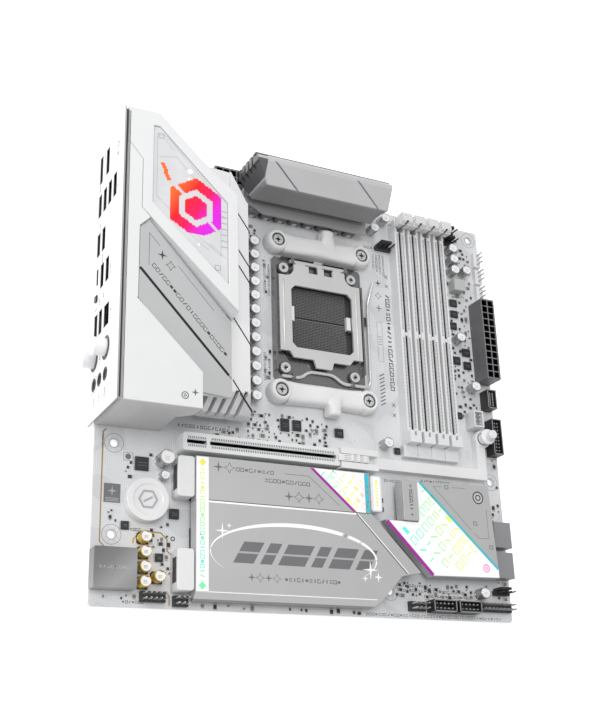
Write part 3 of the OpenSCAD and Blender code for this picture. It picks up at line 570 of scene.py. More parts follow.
def dress(node, material, width, angle):
    """Gives a CAD node its finish and rounded edges. Its points and faces stay where they are."""
    o = frame["nodes"][node]
    o.data.materials.clear()
    o.data.materials.append(material)
    normals = o.data.attributes.get("custom_normal")
    if normals:
        o.data.attributes.remove(normals)
    o.data.polygons.foreach_set("use_smooth", [True] * len(o.data.polygons))
    weld = o.modifiers.new("joined", "WELD")
    weld.merge_threshold = 2e-6
    flat = o.modifiers.new("faces", "DECIMATE")
    flat.decimate_type = "DISSOLVE"
    flat.angle_limit = math.radians(1)
    soften(o, width, angle)


for material, width, angle, names in FINISHES:
    for name in names.split():
        dress(name, material, width, angle)


# ---------------------------------------------------------------- printed marks
def star(b, x, d, r, z, kind=0, waist=0.16):
    """Four-pointed sparkle."""
    outline = []
    for i in range(8):
        a = math.pi * i / 4
        reach = r if i % 2 == 0 else r * waist * 1.5
        outline.append((x + reach * math.cos(a), d + reach * math.sin(a)))
    b.prism(outline, z - PRINT, z + PRINT, kind)


def open_star(b, x, d, r, z, kind=0):
    """Sparkle drawn as four strokes round an empty middle."""
    for i in range(4):
        a = math.pi * i / 2
        c, s = math.cos(a), math.sin(a)
        for side in (-1, 1):
            b.stroke([(x + r * c, d + r * s), (x + 0.32 * r * (c - side * s), d + 0.32 * r * (s + side * c))],
                     0.09 * r, z, kind)


def plus(b, x, d, r, z, kind=0, w=0.2):
    b.patch(x - r, d - w * r, x + r, d + w * r, z, kind)
    b.box(x - w * r, d - r, x + w * r, d + r, z - PRINT * 0.9, z + PRINT * 0.9, kind)


def saltire(b, x, d, r, z, kind=0, w=0.3):
    for s in (-1, 1):
        b.line([(x - r, d - s * r), (x + r, d + s * r)], w * r, z - PRINT * (1 - 0.1 * s),
               z + PRINT * (1 + 0.1 * s), kind)


def tokens(b, start, step, count, w, h, z, kind=0, seed=1, stroke=0.34):
    """A run of plain marks: bars, squares, hooks, slashes, blocks and posts. step runs along the row."""
    pick = random.Random(seed)
    u = Vector(step).normalized()
    v = Vector((-u.y, u.x))

    def put(p, q):
        return (x + u.x * p + v.x * q, d + u.y * p + v.y * q)

    for i in range(count):
        x, d = start[0] + step[0] * i, start[1] + step[1] * i
        mark = pick.choice(["square", "bars", "hook", "slash", "block", "square", "hook", "post"])
        t = stroke * h
        if mark == "square":
            b.stroke([put(-w / 2, -h / 2), put(w / 2, -h / 2), put(w / 2, h / 2), put(-w / 2, h / 2)],
                     t * 0.6, z, kind, closed=True)
        elif mark == "bars":
            for q in (-h / 2 + t / 2, h / 2 - t / 2):
                b.stroke([put(-w / 2, q), put(w / 2, q)], t * 0.8, z, kind)
        elif mark == "hook":
            b.stroke([put(w / 2, -h / 2), put(-w / 2, -h / 2), put(-w / 2, h / 2), put(w / 2, h / 2),
                      put(w / 2, 0)], t * 0.6, z, kind)
        elif mark == "slash":
            b.stroke([put(-w / 3, h / 2), put(w / 3, -h / 2)], t, z, kind)
        elif mark == "block":
            b.stroke([put(-w / 2, 0), put(w / 2, 0)], h * 0.7, z, kind)
        elif mark == "post":
            b.stroke([put(0, -h / 2), put(0, h / 2)], t, z, kind)


def outline_box(b, x0, d0, x1, d1, z, w=0.16, kind=0):
    b.stroke([(x0, d0), (x1, d0), (x1, d1), (x0, d1)], w, z, kind, closed=True)


def arc(x, d, rx, rd, from_deg, to_deg, n=28):
    """Points along an ellipse; angles run from +x towards +d."""
    return [(x + rx * math.cos(math.radians(from_deg + (to_deg - from_deg) * i / n)),
             d + rd * math.sin(math.radians(from_deg + (to_deg - from_deg) * i / n))) for i in range(n + 1)]


def board_print():
    """Dark marks on the board: sparkles, rows of plain marks, and outlines round parts."""
    b = Build()
    star(b, 168.8, 48.3, 2.3, 0)
    open_star(b, 168.6, 56.5, 2.2, 0)
    plus(b, 168.5, 64.5, 1.9, 0, w=0.12)
    outline_box(b, 166.4, 73.4, 169.8, 98.1, 0, 0.14, 1)
    for d in (82.6, 84.2, 85.8, 87.4):
        b.patch(167.0, d, 169.2, d + 0.3, 0, 1)
    for i in range(9):
        b.stroke([(166.2, 107.4 + i * 2.2), (169.4, 105.6 + i * 2.2)], 0.5, 0)
    for d in (43.2, 49.4, 124, 130):
        saltire(b, 174.6, d, 1.05, 0)
    tokens(b, (174.6, 56), (0, 2.9), 21, 2.0, 2.3, 0, seed=3)
    for i, x in enumerate((166.4, 168.6, 170.8, 173.2)):
        tokens(b, (x, 29.8), (0, 1.3), 8 + i, 0.9, 1.2, 0, 1, seed=11 + i)
    # x, d, step in x, step in d, how many, width, height, ink
    rows = ((161, 25.6, 1.5, 0, 8, 1.0, 1.2, 1), (94.4, 48, 0, 1.35, 15, 0.9, 1.1, 1),
            (97.0, 50, 0, 1.1, 18, 0.8, 0.9, 0), (93.6, 104, 0, 1.4, 12, 0.9, 1.1, 1),
            (96.4, 108, 0, 1.3, 9, 0.9, 1.0, 0), (44, 150.6, 2.1, 0, 14, 1.2, 1.5, 0),
            (64, 154.2, 2.0, 0, 16, 1.1, 1.3, 1), (4.5, 160, 0, 1.3, 6, 0.8, 0.9, 1),
            (15.5, 206.5, 1.5, 0, 7, 1.0, 1.2, 0), (17, 241.4, 1.6, 0, 7, 1.0, 1.2, 1),
            (166, 169, 1.7, 0, 9, 1.1, 1.1, 0), (190, 167, 2.0, 0, 10, 1.3, 1.2, 0),
            (172, 226.4, 1.5, 0, 12, 0.9, 1.2, 0), (172, 229, 1.9, 0, 22, 1.2, 1.2, 1),
            (187, 231.6, 1.7, 0, 18, 1.1, 1.1, 0), (150, 242.4, 1.9, 0, 46, 1.2, 1.2, 1),
            (234.4, 100, 0, 1.5, 5, 0.9, 1.1, 1), (226, 47, 1.4, 0, 4, 0.9, 1.1, 1))
    for i, (x, d, step_x, step_d, count, w, h, kind) in enumerate(rows):
        tokens(b, (x, d), (step_x, step_d), count, w, h, 0, kind, seed=21 + i)
    for x0, d0, x1, d1 in ((15.3, 168.1, 20, 172.2), (186.6, 233.4, 202.7, 241.4), (203, 233.4, 219.1, 241.4),
                           (236.2, 126, 243.6, 149.4), (165.8, 23.6, 178.2, 27.8), (82, 140, 92.8, 147.4)):
        outline_box(b, x0, d0, x1, d1, 0, 0.16, 1)
    b.disc(17.6, 170.1, 1.5, -PRINT, PRINT, 1)
    b.ring(41.5, 209.8, 0.7, 1.2, -PRINT, PRINT)
    b.piece("board_print", [INK_DARK, INK_MID])


def print_block():
    """Plain gray print block with a star, where the board carries a printed square."""
    b = Build()
    b.patch(5.7, 184.5, 14.1, 194.0, 0)
    star(b, 9.9, 188.2, 2.6, PRINT, 1)
    for i in range(3):
        b.box(6.6, 191.6 + i * 0.7, 13.2, 191.9 + i * 0.7, 0, 2 * PRINT, 1)
    b.piece("print_block", [INK_MID, INK_PALE])


def gold_traces():
    """Bare gold guard traces round the audio corner."""
    b = Build()
    for path in ([(6.0, 156.9), (4.4, 158.6), (4.4, 213.4), (6.7, 215.5)],
                 [(21, 213.3), (21.2, 211.1), (25.3, 207.2), (35.1, 207.2), (38.5, 210.3), (38.6, 215.9),
                  (40.4, 217.7)],
                 [(38.2, 235.5), (40, 238.1), (40, 242.4)]):
        b.stroke(path, 0.62, 0)
    b.piece("gold_traces", [GOLD])


def standoff_pads():
    """Tinned ring, stitched dots and a printed circle round each standoff hole, on both faces."""
    b = Build()
    holes = [(m["pos_m"][0], m["pos_m"][1], m["dims"]["r_mm"]) for m in frame["record"]["mounts"]
             if m["name"].startswith("standoff_")]
    top = next(m for m in frame["record"]["mounts"] if m["name"] == "standoffs_top")
    half = top["dims"]["spacing_x_mm"] * MM / 2
    for s in (-1, 1):
        holes.append((top["pos_m"][0] + s * half, top["pos_m"][1], top["dims"]["hole_r_mm"]))
    for px, py, r in holes:
        x, d, _ = board_mm(Vector((px, py, 0)))
        for z in (0.0, -BOARD_T):
            b.ring(x, d, r + 0.1, r + 0.7, z - PRINT, z + PRINT)
            b.ring(x, d, 4.75, 4.95, z - PRINT, z + PRINT, 1)
            for i in range(8):
                a = math.pi * (i + 0.5) / 4
                b.disc(x + 3.4 * math.cos(a), d + 3.4 * math.sin(a), 0.32, z - PRINT, z + PRINT, n=12)
    b.piece("standoff_pads", [TIN, INK_MID])


# ---------------------------------------------------------------- small parts on the board
def taken():
    """Footprints of everything that stands on the board."""
    rects = []
    for node in frame["nodes"]:
        z0, z1 = extent(node)[4:]
        if z0 < 1 and z1 > 0.5 and node != "circuit_board":
            for box in islands(node):
                if box[4] < 1 and node not in ("shroud_body", "io_shield"):
                    rects.append(box[:4])
    return rects


def small_parts():
    """Chip resistors and ceramic capacitors in the gaps between the larger parts."""
    b = Build()
    pick = random.Random(5)
    used = taken()
    # x0, d0, x1, d1 and how many to try
    zones = [(6, 197, 15, 204, 12), (15, 172, 21, 183, 10), (27, 167.5, 33, 170, 8), (34, 195, 40.5, 207, 14),
             (33.5, 208, 40, 228, 40), (3, 237.2, 24, 241, 9), (28, 205, 33, 216, 8), (82, 138, 96, 155, 60),
             (98, 138, 134, 155.6, 120), (134, 148, 162, 156, 40), (93, 46, 97.6, 74, 12),
             (92.6, 100, 97.6, 120, 12), (159.5, 22, 164, 40, 10), (216.4, 36, 233, 128, 260),
             (217, 8, 236, 30, 40), (231, 14, 237, 50, 18), (158, 172, 168.6, 194, 26),
             (231.5, 172, 243, 188, 18), (168, 224.4, 219, 233, 120), (220, 224, 231, 233, 12),
             (52, 241, 150, 243, 14), (226, 150, 243, 156, 12), (172, 156.4, 228, 158, 6),
             (234, 221, 243, 232, 16), (176, 166, 243, 168.6, 14), (60.5, 148, 80, 155.6, 18),
             (84, 24, 92, 36, 8), (140, 24, 160, 29, 6), (104, 24, 122, 29, 6)]
    sizes = [(1.0, 0.5), (1.6, 0.8), (2.0, 1.25), (2.0, 1.25), (3.2, 1.6), (2.6, 1.4)]
    for x0, d0, x1, d1, count in zones:
        for _ in range(count):
            turned = pick.random() < 0.5
            long, wide = pick.choice(sizes)
            w, h = (long, wide) if turned else (wide, long)
            x, d = pick.uniform(x0, x1 - w), pick.uniform(d0, d1 - h)
            x, d = round(x * 2) / 2, round(d * 2) / 2
            rect = (x - 0.25, d - 0.25, x + w + 0.25, d + h + 0.25)
            if any(rect[0] < r[2] and rect[2] > r[0] and rect[1] < r[3] and rect[3] > r[1] for r in used):
                continue
            used.append(rect)
            tall, kind = pick.choice([(0.5, 0), (0.6, 0), (0.5, 0), (0.8, 1)])
            end = long * 0.18
            if turned:
                b.box(x + end, d, x + w - end, d + h, 0, tall, kind, c=0.05)
                for a in (x, x + w - end):
                    b.box(a, d - 0.03, a + end, d + h + 0.03, 0, tall + 0.03, 2, c=0.06)
            else:
                b.box(x, d + end, x + w, d + h - end, 0, tall, kind, c=0.05)
                for a in (d, d + h - end):
                    b.box(x - 0.03, a, x + w + 0.03, a + end, 0, tall + 0.03, 2, c=0.06)
    b.piece("small_parts", [RESISTOR, CERAMIC, TIN])


def chip_legs():
    """Gull-wing legs beside each flat chip, and a dot and two bars on its top."""
    b = Build()
    for x0, d0, x1, d1, _, z1 in islands("chips"):
        if z1 > 3:
            continue
        count = max(2, int((d1 - d0) / 0.9))
        for i in range(count):
            d = d0 + (i + 0.5) * (d1 - d0) / count
            for s, x in ((-1, x0), (1, x1)):
                a, c = sorted((x, x + s * 0.35))
                b.box(a, d - 0.16, c, d + 0.16, z1 * 0.45, z1 * 0.55)
                a, c = sorted((x + s * 0.3, x + s * 0.75))
                b.box(a, d - 0.16, c, d + 0.16, 0, z1 * 0.5, c=0.05)
        b.disc(x0 + 0.7, d0 + 0.7, 0.22, z1 - 0.02, z1 + 0.02, 1, n=12)
        for i in range(2):
            d = d0 + (d1 - d0) * (0.42 + 0.2 * i)
            b.box(x0 + 1.3, d, x1 - 0.9, d + 0.22, z1 - 0.02, z1 + 0.015, 1)
    b.piece("chip_legs", [TIN, INK_MID])


def can(b, x, d, r, h, side, top, ink):
    """Crimped can on a cut-cornered base, with a marked sector on its top."""
    c = r * 0.3
    b.prism([(x - r + c, d - r), (x + r, d - r), (x + r, d + r), (x - r + c, d + r), (x - r, d + r - c),
             (x - r, d - r + c)], 0, 0.8, 3)
    wall = [(0, 0.75), (r - 0.25, 0.75), (r - 0.05, 1.0), (r - 0.05, 1.5), (r - 0.3, 1.8), (r - 0.3, 2.0),
            (r - 0.05, 2.3), (r - 0.05, h - 0.45), (r - 0.15, h - 0.18), (r - 0.42, h), (r - 0.52, h - 0.02),
            (r - 0.56, h - 0.16), (0, h - 0.16)]
    b.spin(x, d, wall, side)
    b.disc(x, d, r - 0.54, h - 0.3, h - 0.06, top, n=32)
    edge = [(x + (r - 0.62) * math.cos(math.radians(a)), d + (r - 0.62) * math.sin(math.radians(a)))
            for a in range(-110, -39, 10)]
    b.prism(edge, h - 0.1, h - 0.02, ink)
    for i in range(3):
        b.box(x - 0.4 * r, d - 0.05 * r + i * 0.2 * r, x + 0.25 * r, d + i * 0.2 * r, h - 0.1, h - 0.03, ink)


def capacitor_cans():
    """Detailed cans in place of the plain ones."""
    for node, side, mark in (("capacitors", CAN, INK_PALE), ("audio_capacitors", GOLD_SLEEVE, INK_BLACK)):
        b = Build()
        for x0, d0, x1, d1, _, z1 in islands(node):
            can(b, (x0 + x1) / 2, (d0 + d1) / 2, (x1 - x0) / 2, z1 - 0.04, 0, 1, 2)
        b.piece(node + "_cans", [side, CAN_TOP, mark, SLOT_WHITE if node == "capacitors" else BLACK],
                replaces=(node,), crease=30)


def choke_terminals():
    """Tinned straps at both ends of each choke, and a rating mark."""
    b = Build()
    for x0, d0, x1, d1, _, z1 in islands("vrm_chokes"):
        along_x = d0 < 30
        mid = (x0 + x1) / 2 if along_x else (d0 + d1) / 2
        for s in (0, 1):
            if along_x:
                d = d1 if s else d0 - 0.25
                b.box(mid - 1.4, d, mid + 1.4, d + 0.25, 0, 3.4)
            else:
                x = x1 if s else x0 - 0.25
                b.box(x, mid - 1.4, x + 0.25, mid + 1.4, 0, 3.4)
        b.box(x0 + 1.8, d0 + 2.2, x1 - 1.8, d0 + 2.7, z1 - 0.02, z1 + 0.03, 1)
        b.box(x0 + 1.8, d0 + 3.6, x1 - 2.6, d0 + 4.1, z1 - 0.02, z1 + 0.03, 1)
    b.piece("choke_terminals", [TIN, INK_PALE])


# ---------------------------------------------------------------- processor socket
def socket_field():
    """Sprung contacts in two fields, the seam between them, and two white finger tabs."""
    b = Build()
    pitch = 0.94
    fields = islands("socket_contacts")
    for x0, d0, x1, d1, _, z1 in fields:
        for i in range(int((x1 - x0) / pitch)):
            for j in range(int((d1 - d0) / pitch)):
                x = x0 + (i + 0.5 + 0.25 * (j % 2)) * pitch
                d = d0 + (j + 0.5) * pitch
                b.prism([(x - 0.22, d - 0.2), (x + 0.18, d - 0.2), (x + 0.18, d + 0.2), (x - 0.22, d + 0.2)],
                        z1 - 0.02, z1 + 0.3, 0, [(x, d - 0.26), (x + 0.26, d - 0.26), (x + 0.26, d + 0.06),
                                                 (x, d + 0.06)])
    low, high = fields[0], fields[-1]
    seam = (low[3] + high[1]) / 2
    b.line([(low[0] + 0.6, seam), (low[2] - 0.6, seam)], 0.2, low[5] - 0.4, low[5] + 0.1, 1)
    b.piece("socket_field", [CONTACT, INK_PALE])
    b = Build()
    b.box(108.3, 74.6, 110.6, 83.6, 2.0, 4.2, c=0.3)
    b.box(143.6, 76.2, 146.3, 84.2, 2.0, 4.6, c=0.3)
    b.piece("socket_tabs", [WHITE_PLASTIC])


def cooler_brackets():
    """Soft moulded brackets: round bosses round the screw wells, a waisted bar and a rising lug."""
    for node, side in (("cooler_bracket_upper", -1), ("cooler_bracket_lower", 1)):
        x0, d0, x1, d1, _, _ = extent(node)
        boss, top = 6.8, 8.2
        xa, xb = x0 + boss, x1 - boss
        row = d1 - boss if side < 0 else d0 + boss
        half_turn = [math.pi * k / 14 for k in range(15)]
        ridge_x, lug_x = 126.5, 132
        b = Build()
        for x in (xa, xb):
            b.spin(x, row, [(1.95, 0), (6.2, 0), (6.7, 0.5), (6.78, 4.6), (6.5, 6.4), (5.9, 7.5), (5.1, top),
                            (4.4, top), (4.05, 7.9), (3.95, 7.4), (3.95, 4.4), (1.95, 4.4)], 0, 48,
                   closed=True)
        rings = []
        for i in range(31):
            t = i / 30
            x = xa + 4.2 + (xb - xa - 8.4) * t
            flare = abs(2 * t - 1) ** 3
            half = 5.7 + 0.7 * flare
            ridge = math.exp(-((x - ridge_x) / 9) ** 2)
            high = 6.5 + 1.2 * flare + 1.5 * ridge
            rings.append([(x, row + half * math.copysign(abs(math.cos(a)) ** 0.7, math.cos(a)),
                           0.5 + (high - 0.5) * max(0, math.sin(a)) ** 0.35) for a in half_turn])
        b.loft(rings, 0)
        rings = []
        for i in range(17):
            t = i / 16
            d = row - side * 1.5 + side * (11.3 + 1.5) * t
            half = 9.5 - 5.6 * min(1, t * 1.6) ** 0.6
            high = 7.2 + 2.15 * min(1.0, t * 1.6) ** 1.2
            rounding = 1.0 if i < 16 else 0.9
            rings.append([(lug_x + half * rounding * math.cos(a), d,
                           2.2 + (high - 2.2) * rounding * max(0, math.sin(a)) ** 0.3) for a in half_turn])
        b.loft(rings, 0)
        b.piece(node + "_moulding", [WHITE_PLASTIC], replaces=(node,), crease=50)


def rounded(path, radius, n=5):
    """A path of 3-D points with its corners turned into short arcs."""
    out = [Vector(path[0])]
    for a, b, c in zip(path, path[1:], path[2:]):
        a, b, c = Vector(a), Vector(b), Vector(c)
        r = min(radius, (a - b).length * 0.45, (c - b).length * 0.45)
        p, q = b + (a - b).normalized() * r, b + (c - b).normalized() * r
        for i in range(n + 1):
            t = i / n
            out.append(p * (1 - t) ** 2 + b * 2 * t * (1 - t) + q * t ** 2)
    return [tuple(v) for v in out + [Vector(path[-1])]]


def lever_wire():
    """One bent wire with a cranked middle and a steel sleeve near its free end."""
    x0, d0, x1, d1, z0, z1 = extent("socket_lever")
    z, r = (z0 + z1) / 2, (z1 - z0) / 2
    axle, crank, tip = d1 - r, d1 - r - 4.4, d0 + 0.8
    path = [(x0 + 0.8, axle, z), (113.5, axle, z), (119, crank, z), (134, crank, z), (140, axle, z),
            (x1 - 6, axle, z), (x1 - 5.3, tip + 14.1, z), (x1 - 0.9, tip, z)]
    b = Build()
    b.tube(rounded(path, 4.5, 8), r * 0.97, 0, n=16)
    start = (x1 - 3.4, tip + 7.6, z)
    b.tube([start, (x1 - 2.6, tip + 5.2, z), (x1 - 1.7, tip + 2.4, z), (x1 - 1.0, tip + 0.3, z)], r, 1, n=16)
    b.piece("lever_wire", [BRIGHT_STEEL, STEEL], body="socket_lever", replaces=("socket_lever",))


def socket_trim():
    """Rolled ribs on the load plate, riding with it."""
    b = Build()
    x0, d0, x1, d1, _, z1 = extent("load_plate")
    for x in (x0 + 2.1, x1 - 3.3):
        b.box(x, d0 + 14, x + 1.2, d1 - 9, z1 - 0.05, z1 + 0.28, c=0.26)
    b.piece("load_plate_ribs", [STEEL], body="load_plate", crease=60)


def screw_faces():
    """Recesses in the heads of the cooler and socket screws, drawn black as painted shade, with rims, and
    dark rings of painted shade round them in their wells.
    """
    b = Build()
    for x0, d0, x1, d1, _, z1 in islands("cooler_bracket_screws"):
        x, d = (x0 + x1) / 2, (d0 + d1) / 2
        # Black ring in the well round the head, black recess and black ring at the head's edge: painted
        # shade.
        b.ring(x, d, 3.3, 3.93, z1 - 2.8, z1 - 0.3, 1)
        lobes = []
        for i in range(12):
            reach = 1.25 if i % 2 else 0.85
            lobes.append((x + reach * math.cos(math.pi * i / 6), d + reach * math.sin(math.pi * i / 6)))
        b.prism(lobes, z1 - 0.1, z1 + 0.04, 1)
        b.ring(x, d, 2.0, 2.75, z1 - 0.1, z1 + 0.1)
        b.ring(x, d, 3.02, 3.3, z1 - 0.12, z1 + 0.06, 1)
    b.piece("cooler_screw_faces", [BRIGHT_STEEL, INK_BLACK])
    b = Build()
    for x0, d0, x1, d1, _, z1 in islands("socket_screws"):
        x, d = (x0 + x1) / 2, (d0 + d1) / 2
        # Black recess star and dark ring in the well below the head: painted shade.
        star(b, x, d, 1.35, z1 - 0.02, waist=0.3)
        b.ring(x, d, 2.0, 2.15, z1 - 0.02, z1 + 0.05, 1)
        b.ring(x, d, 2.6, 3.6, z1 - 1.9, z1 - 0.9, 2)
    b.piece("socket_screw_faces", [INK_BLACK, STEEL, INK_DARK])


# ---------------------------------------------------------------- slots and sockets
def slot_contacts(b, x0, d0, x1, d1, z, across, kind=0, pitch=0.85):
    """Two rows of spring contacts beside a groove. across says whether the groove runs along x."""
    length = (x1 - x0) if across else (d1 - d0)
    for i in range(int(length / pitch)):
        s = (i + 0.5) * pitch
        for side in (-1, 1):
            if across:
                mid = (d0 + d1) / 2 + side * 2.15
                b.patch(x0 + s - 0.22, mid - 0.55, x0 + s + 0.22, mid + 0.55, z, kind)
            else:
                mid = (x0 + x1) / 2 + side * 2.0
                b.patch(mid - 0.4, d0 + s - 0.2, mid + 0.4, d0 + s + 0.2, z, kind)


def memory_slots():
    """Contacts of the memory slots with black floors and walls of painted shade in their grooves, and on each
    latch a black strip of painted shade in its groove and ribs.
    """
    for i in range(1, 5):
        x0, _, x1, _, _, _ = extent("dimm_slot_%d" % i)
        x, top = (x0 + x1) / 2, 7.6
        b = Build()
        slot_contacts(b, x - 0.75, 17, x + 0.75, 79.6, top, False)
        slot_contacts(b, x - 0.75, 83.6, x + 0.75, 139.6, top, False)
        for s in (-1, 1):
            b.patch(x + s * 1.05 - 0.14, 16, x + s * 1.05 + 0.14, 140.6, top, 1)
        # Black floor and walls down each groove: painted shade.
        for a, c in ((15.2, 80.4), (82.8, 143.8)):
            b.box(x - 0.72, a, x + 0.72, c, 2.05, 2.5, 2)
            for s in (-1, 1):
                b.box(x + s * 0.72 - 0.04, a, x + s * 0.72 + 0.04, c, 2.2, top - 1.0, 2)
        b.piece("memory_contacts_and_shade_%d" % i, [DARK_STEEL, INK_PALE, INK_BLACK])
        _, ld0, _, _, _, lz1 = extent("dimm_latch_%d" % i)
        # Black strip on the latch: painted shade in its groove.
        b = Build(lambda p, q, out=0.0: spot(p, 12.3 + out, q))
        b.box(x - 0.74, 9.4, x + 0.74, 17.9, 0.0, 0.3, 1)
        b.piece("memory_latch_groove_shade_%d" % i, [INK_PALE, INK_BLACK], body="dimm_latch_%d" % i)
        b = Build()
        for k in range(4):
            b.box(x - 3.0, ld0 + 1.8 + k * 1.15, x + 3.0, ld0 + 1.98 + k * 1.15, lz1 - 0.04, lz1 + 0.04)
        b.piece("memory_latch_ribs_%d" % i, [INK_PALE], body="dimm_latch_%d" % i)


def expansion_slot():
    """Contacts of the expansion slot with black floors and walls of painted shade in its grooves, and wavy
    ribs on its latch.
    """
    x0, d0, x1, d1, _, z1 = extent("pcie_slot")
    b = Build()
    mid = (d0 + d1) / 2
    for a, c in ((x0 + 2.4, x0 + 12.4), (x0 + 15, x1 - 2.6)):
        slot_contacts(b, a, mid - 0.85, c, mid + 0.85, z1, True, pitch=1.0)
        # Black floor and walls down each groove: painted shade.
        b.box(a - 0.3, mid - 0.8, c + 0.3, mid + 0.8, 2.55, 3.0, 2)
        for s in (-1, 1):
            b.box(a - 0.3, mid + s * 0.8 - 0.04, c + 0.3, mid + s * 0.8 + 0.04, 2.8, z1 - 0.4, 2)
            b.patch(a - 0.3, mid + s * 1.15 - 0.12, c + 0.3, mid + s * 1.15 + 0.12, z1, 1)
    b.piece("expansion_contacts_and_shade", [DARK_STEEL, INK_PALE, INK_BLACK])
    x0, d0, x1, d1, _, z1 = extent("pcie_latch")
    b = Build()
    for k in range(3):
        wave = [(x0 + 3.4 + t * 0.5, (d0 + d1) / 2 - 1.1 + k * 1.1 + 0.18 * math.sin(t * 0.8))
                for t in range(26)]
        b.line(wave, 0.22, z1 - 0.72, z1 - 0.6)
    b.piece("expansion_latch_ribs", [INK_PALE], body="pcie_latch")


def power_sockets():
    """Light rims and tinned pins of the two power sockets, and black floors in their cells as painted shade.
    """
    for node, name, columns, rows in (("main_power_socket", "main_power", 2, 12),
                                      ("cpu_power_socket", "cpu_power", 4, 2)):
        x0, d0, x1, d1, _, z1 = extent(node)
        px, pd = (x1 - x0 - 1.4) / columns, (d1 - d0 - 1.4) / rows
        b = Build()
        for i in range(columns + 1):
            x = x0 + 0.7 + i * px
            b.patch(x - 0.12, d0 + 0.3, x + 0.12, d1 - 0.3, z1)
        for j in range(rows + 1):
            d = d0 + 0.7 + j * pd
            b.box(x0 + 0.3, d - 0.12, x1 - 0.3, d + 0.12, z1 - PRINT * 0.9, z1 + PRINT * 0.9)
        for i in range(columns):
            for j in range(rows):
                x, d = x0 + 0.7 + (i + 0.5) * px, d0 + 0.7 + (j + 0.5) * pd
                # Black floor in each cell: painted shade down the socket's holes.
                b.box(x - 1.72, d - 1.72, x + 1.72, d + 1.72, 2.4, 3.0, 1)
                b.box(x - 0.45, d - 0.45, x + 0.45, d + 0.45, 2.8, 6.0, 2, c=0.3)
        b.piece(name + "_cells", [RIM_GRAY, INK_BLACK, TIN])


def header_details():
    """Tinned pins and light rims of the box headers, and pin tips of the taller pin headers."""
    b = Build()
    for x0, d0, x1, d1, _, z1 in islands("front_usb_headers"):
        for rim in ((x0, d0, x1, d0 + 0.5), (x0, d1 - 0.5, x1, d1), (x0, d0, x0 + 0.5, d1),
                    (x1 - 0.5, d0, x1, d1)):
            b.patch(*rim, z1, 0)
        wide = x1 - x0 > d1 - d0
        count = 5 if wide else 9
        for i in range(count):
            for j in (-1, 1):
                if wide:
                    x, d = (x0 + x1) / 2 + (i - 2) * 2.54, (d0 + d1) / 2 + j * 1.27
                else:
                    x, d = (x0 + x1) / 2 + j * 1.0, (d0 + d1) / 2 + (i - 4) * (d1 - d0 - 3) / 9
                b.box(x - 0.36, d - 0.36, x + 0.36, d + 0.36, 2.2, z1 - 0.7, 1, c=0.15)
    b.piece("header_pins", [RIM_GRAY, TIN])
    b = Build()
    for x0, d0, x1, d1, z0, z1 in islands("pin_headers"):
        if z1 - z0 > 7 and min(x1 - x0, d1 - d0) > 2 and max(x1 - x0, d1 - d0) < 30:
            columns, rows = max(1, round((x1 - x0) / 2.54)), max(1, round((d1 - d0) / 2.54))
            for i in range(columns):
                for j in range(rows):
                    x = x0 + (i + 0.5) * (x1 - x0) / columns
                    d = d0 + (j + 0.5) * (d1 - d0) / rows
                    if 8.3 < z1 < 8.6:
                        b.box(x - 0.36, d - 0.36, x + 0.36, d + 0.36, 2.5, z1 + 0.04, c=0.15)
    b.piece("header_pin_tips", [TIN])


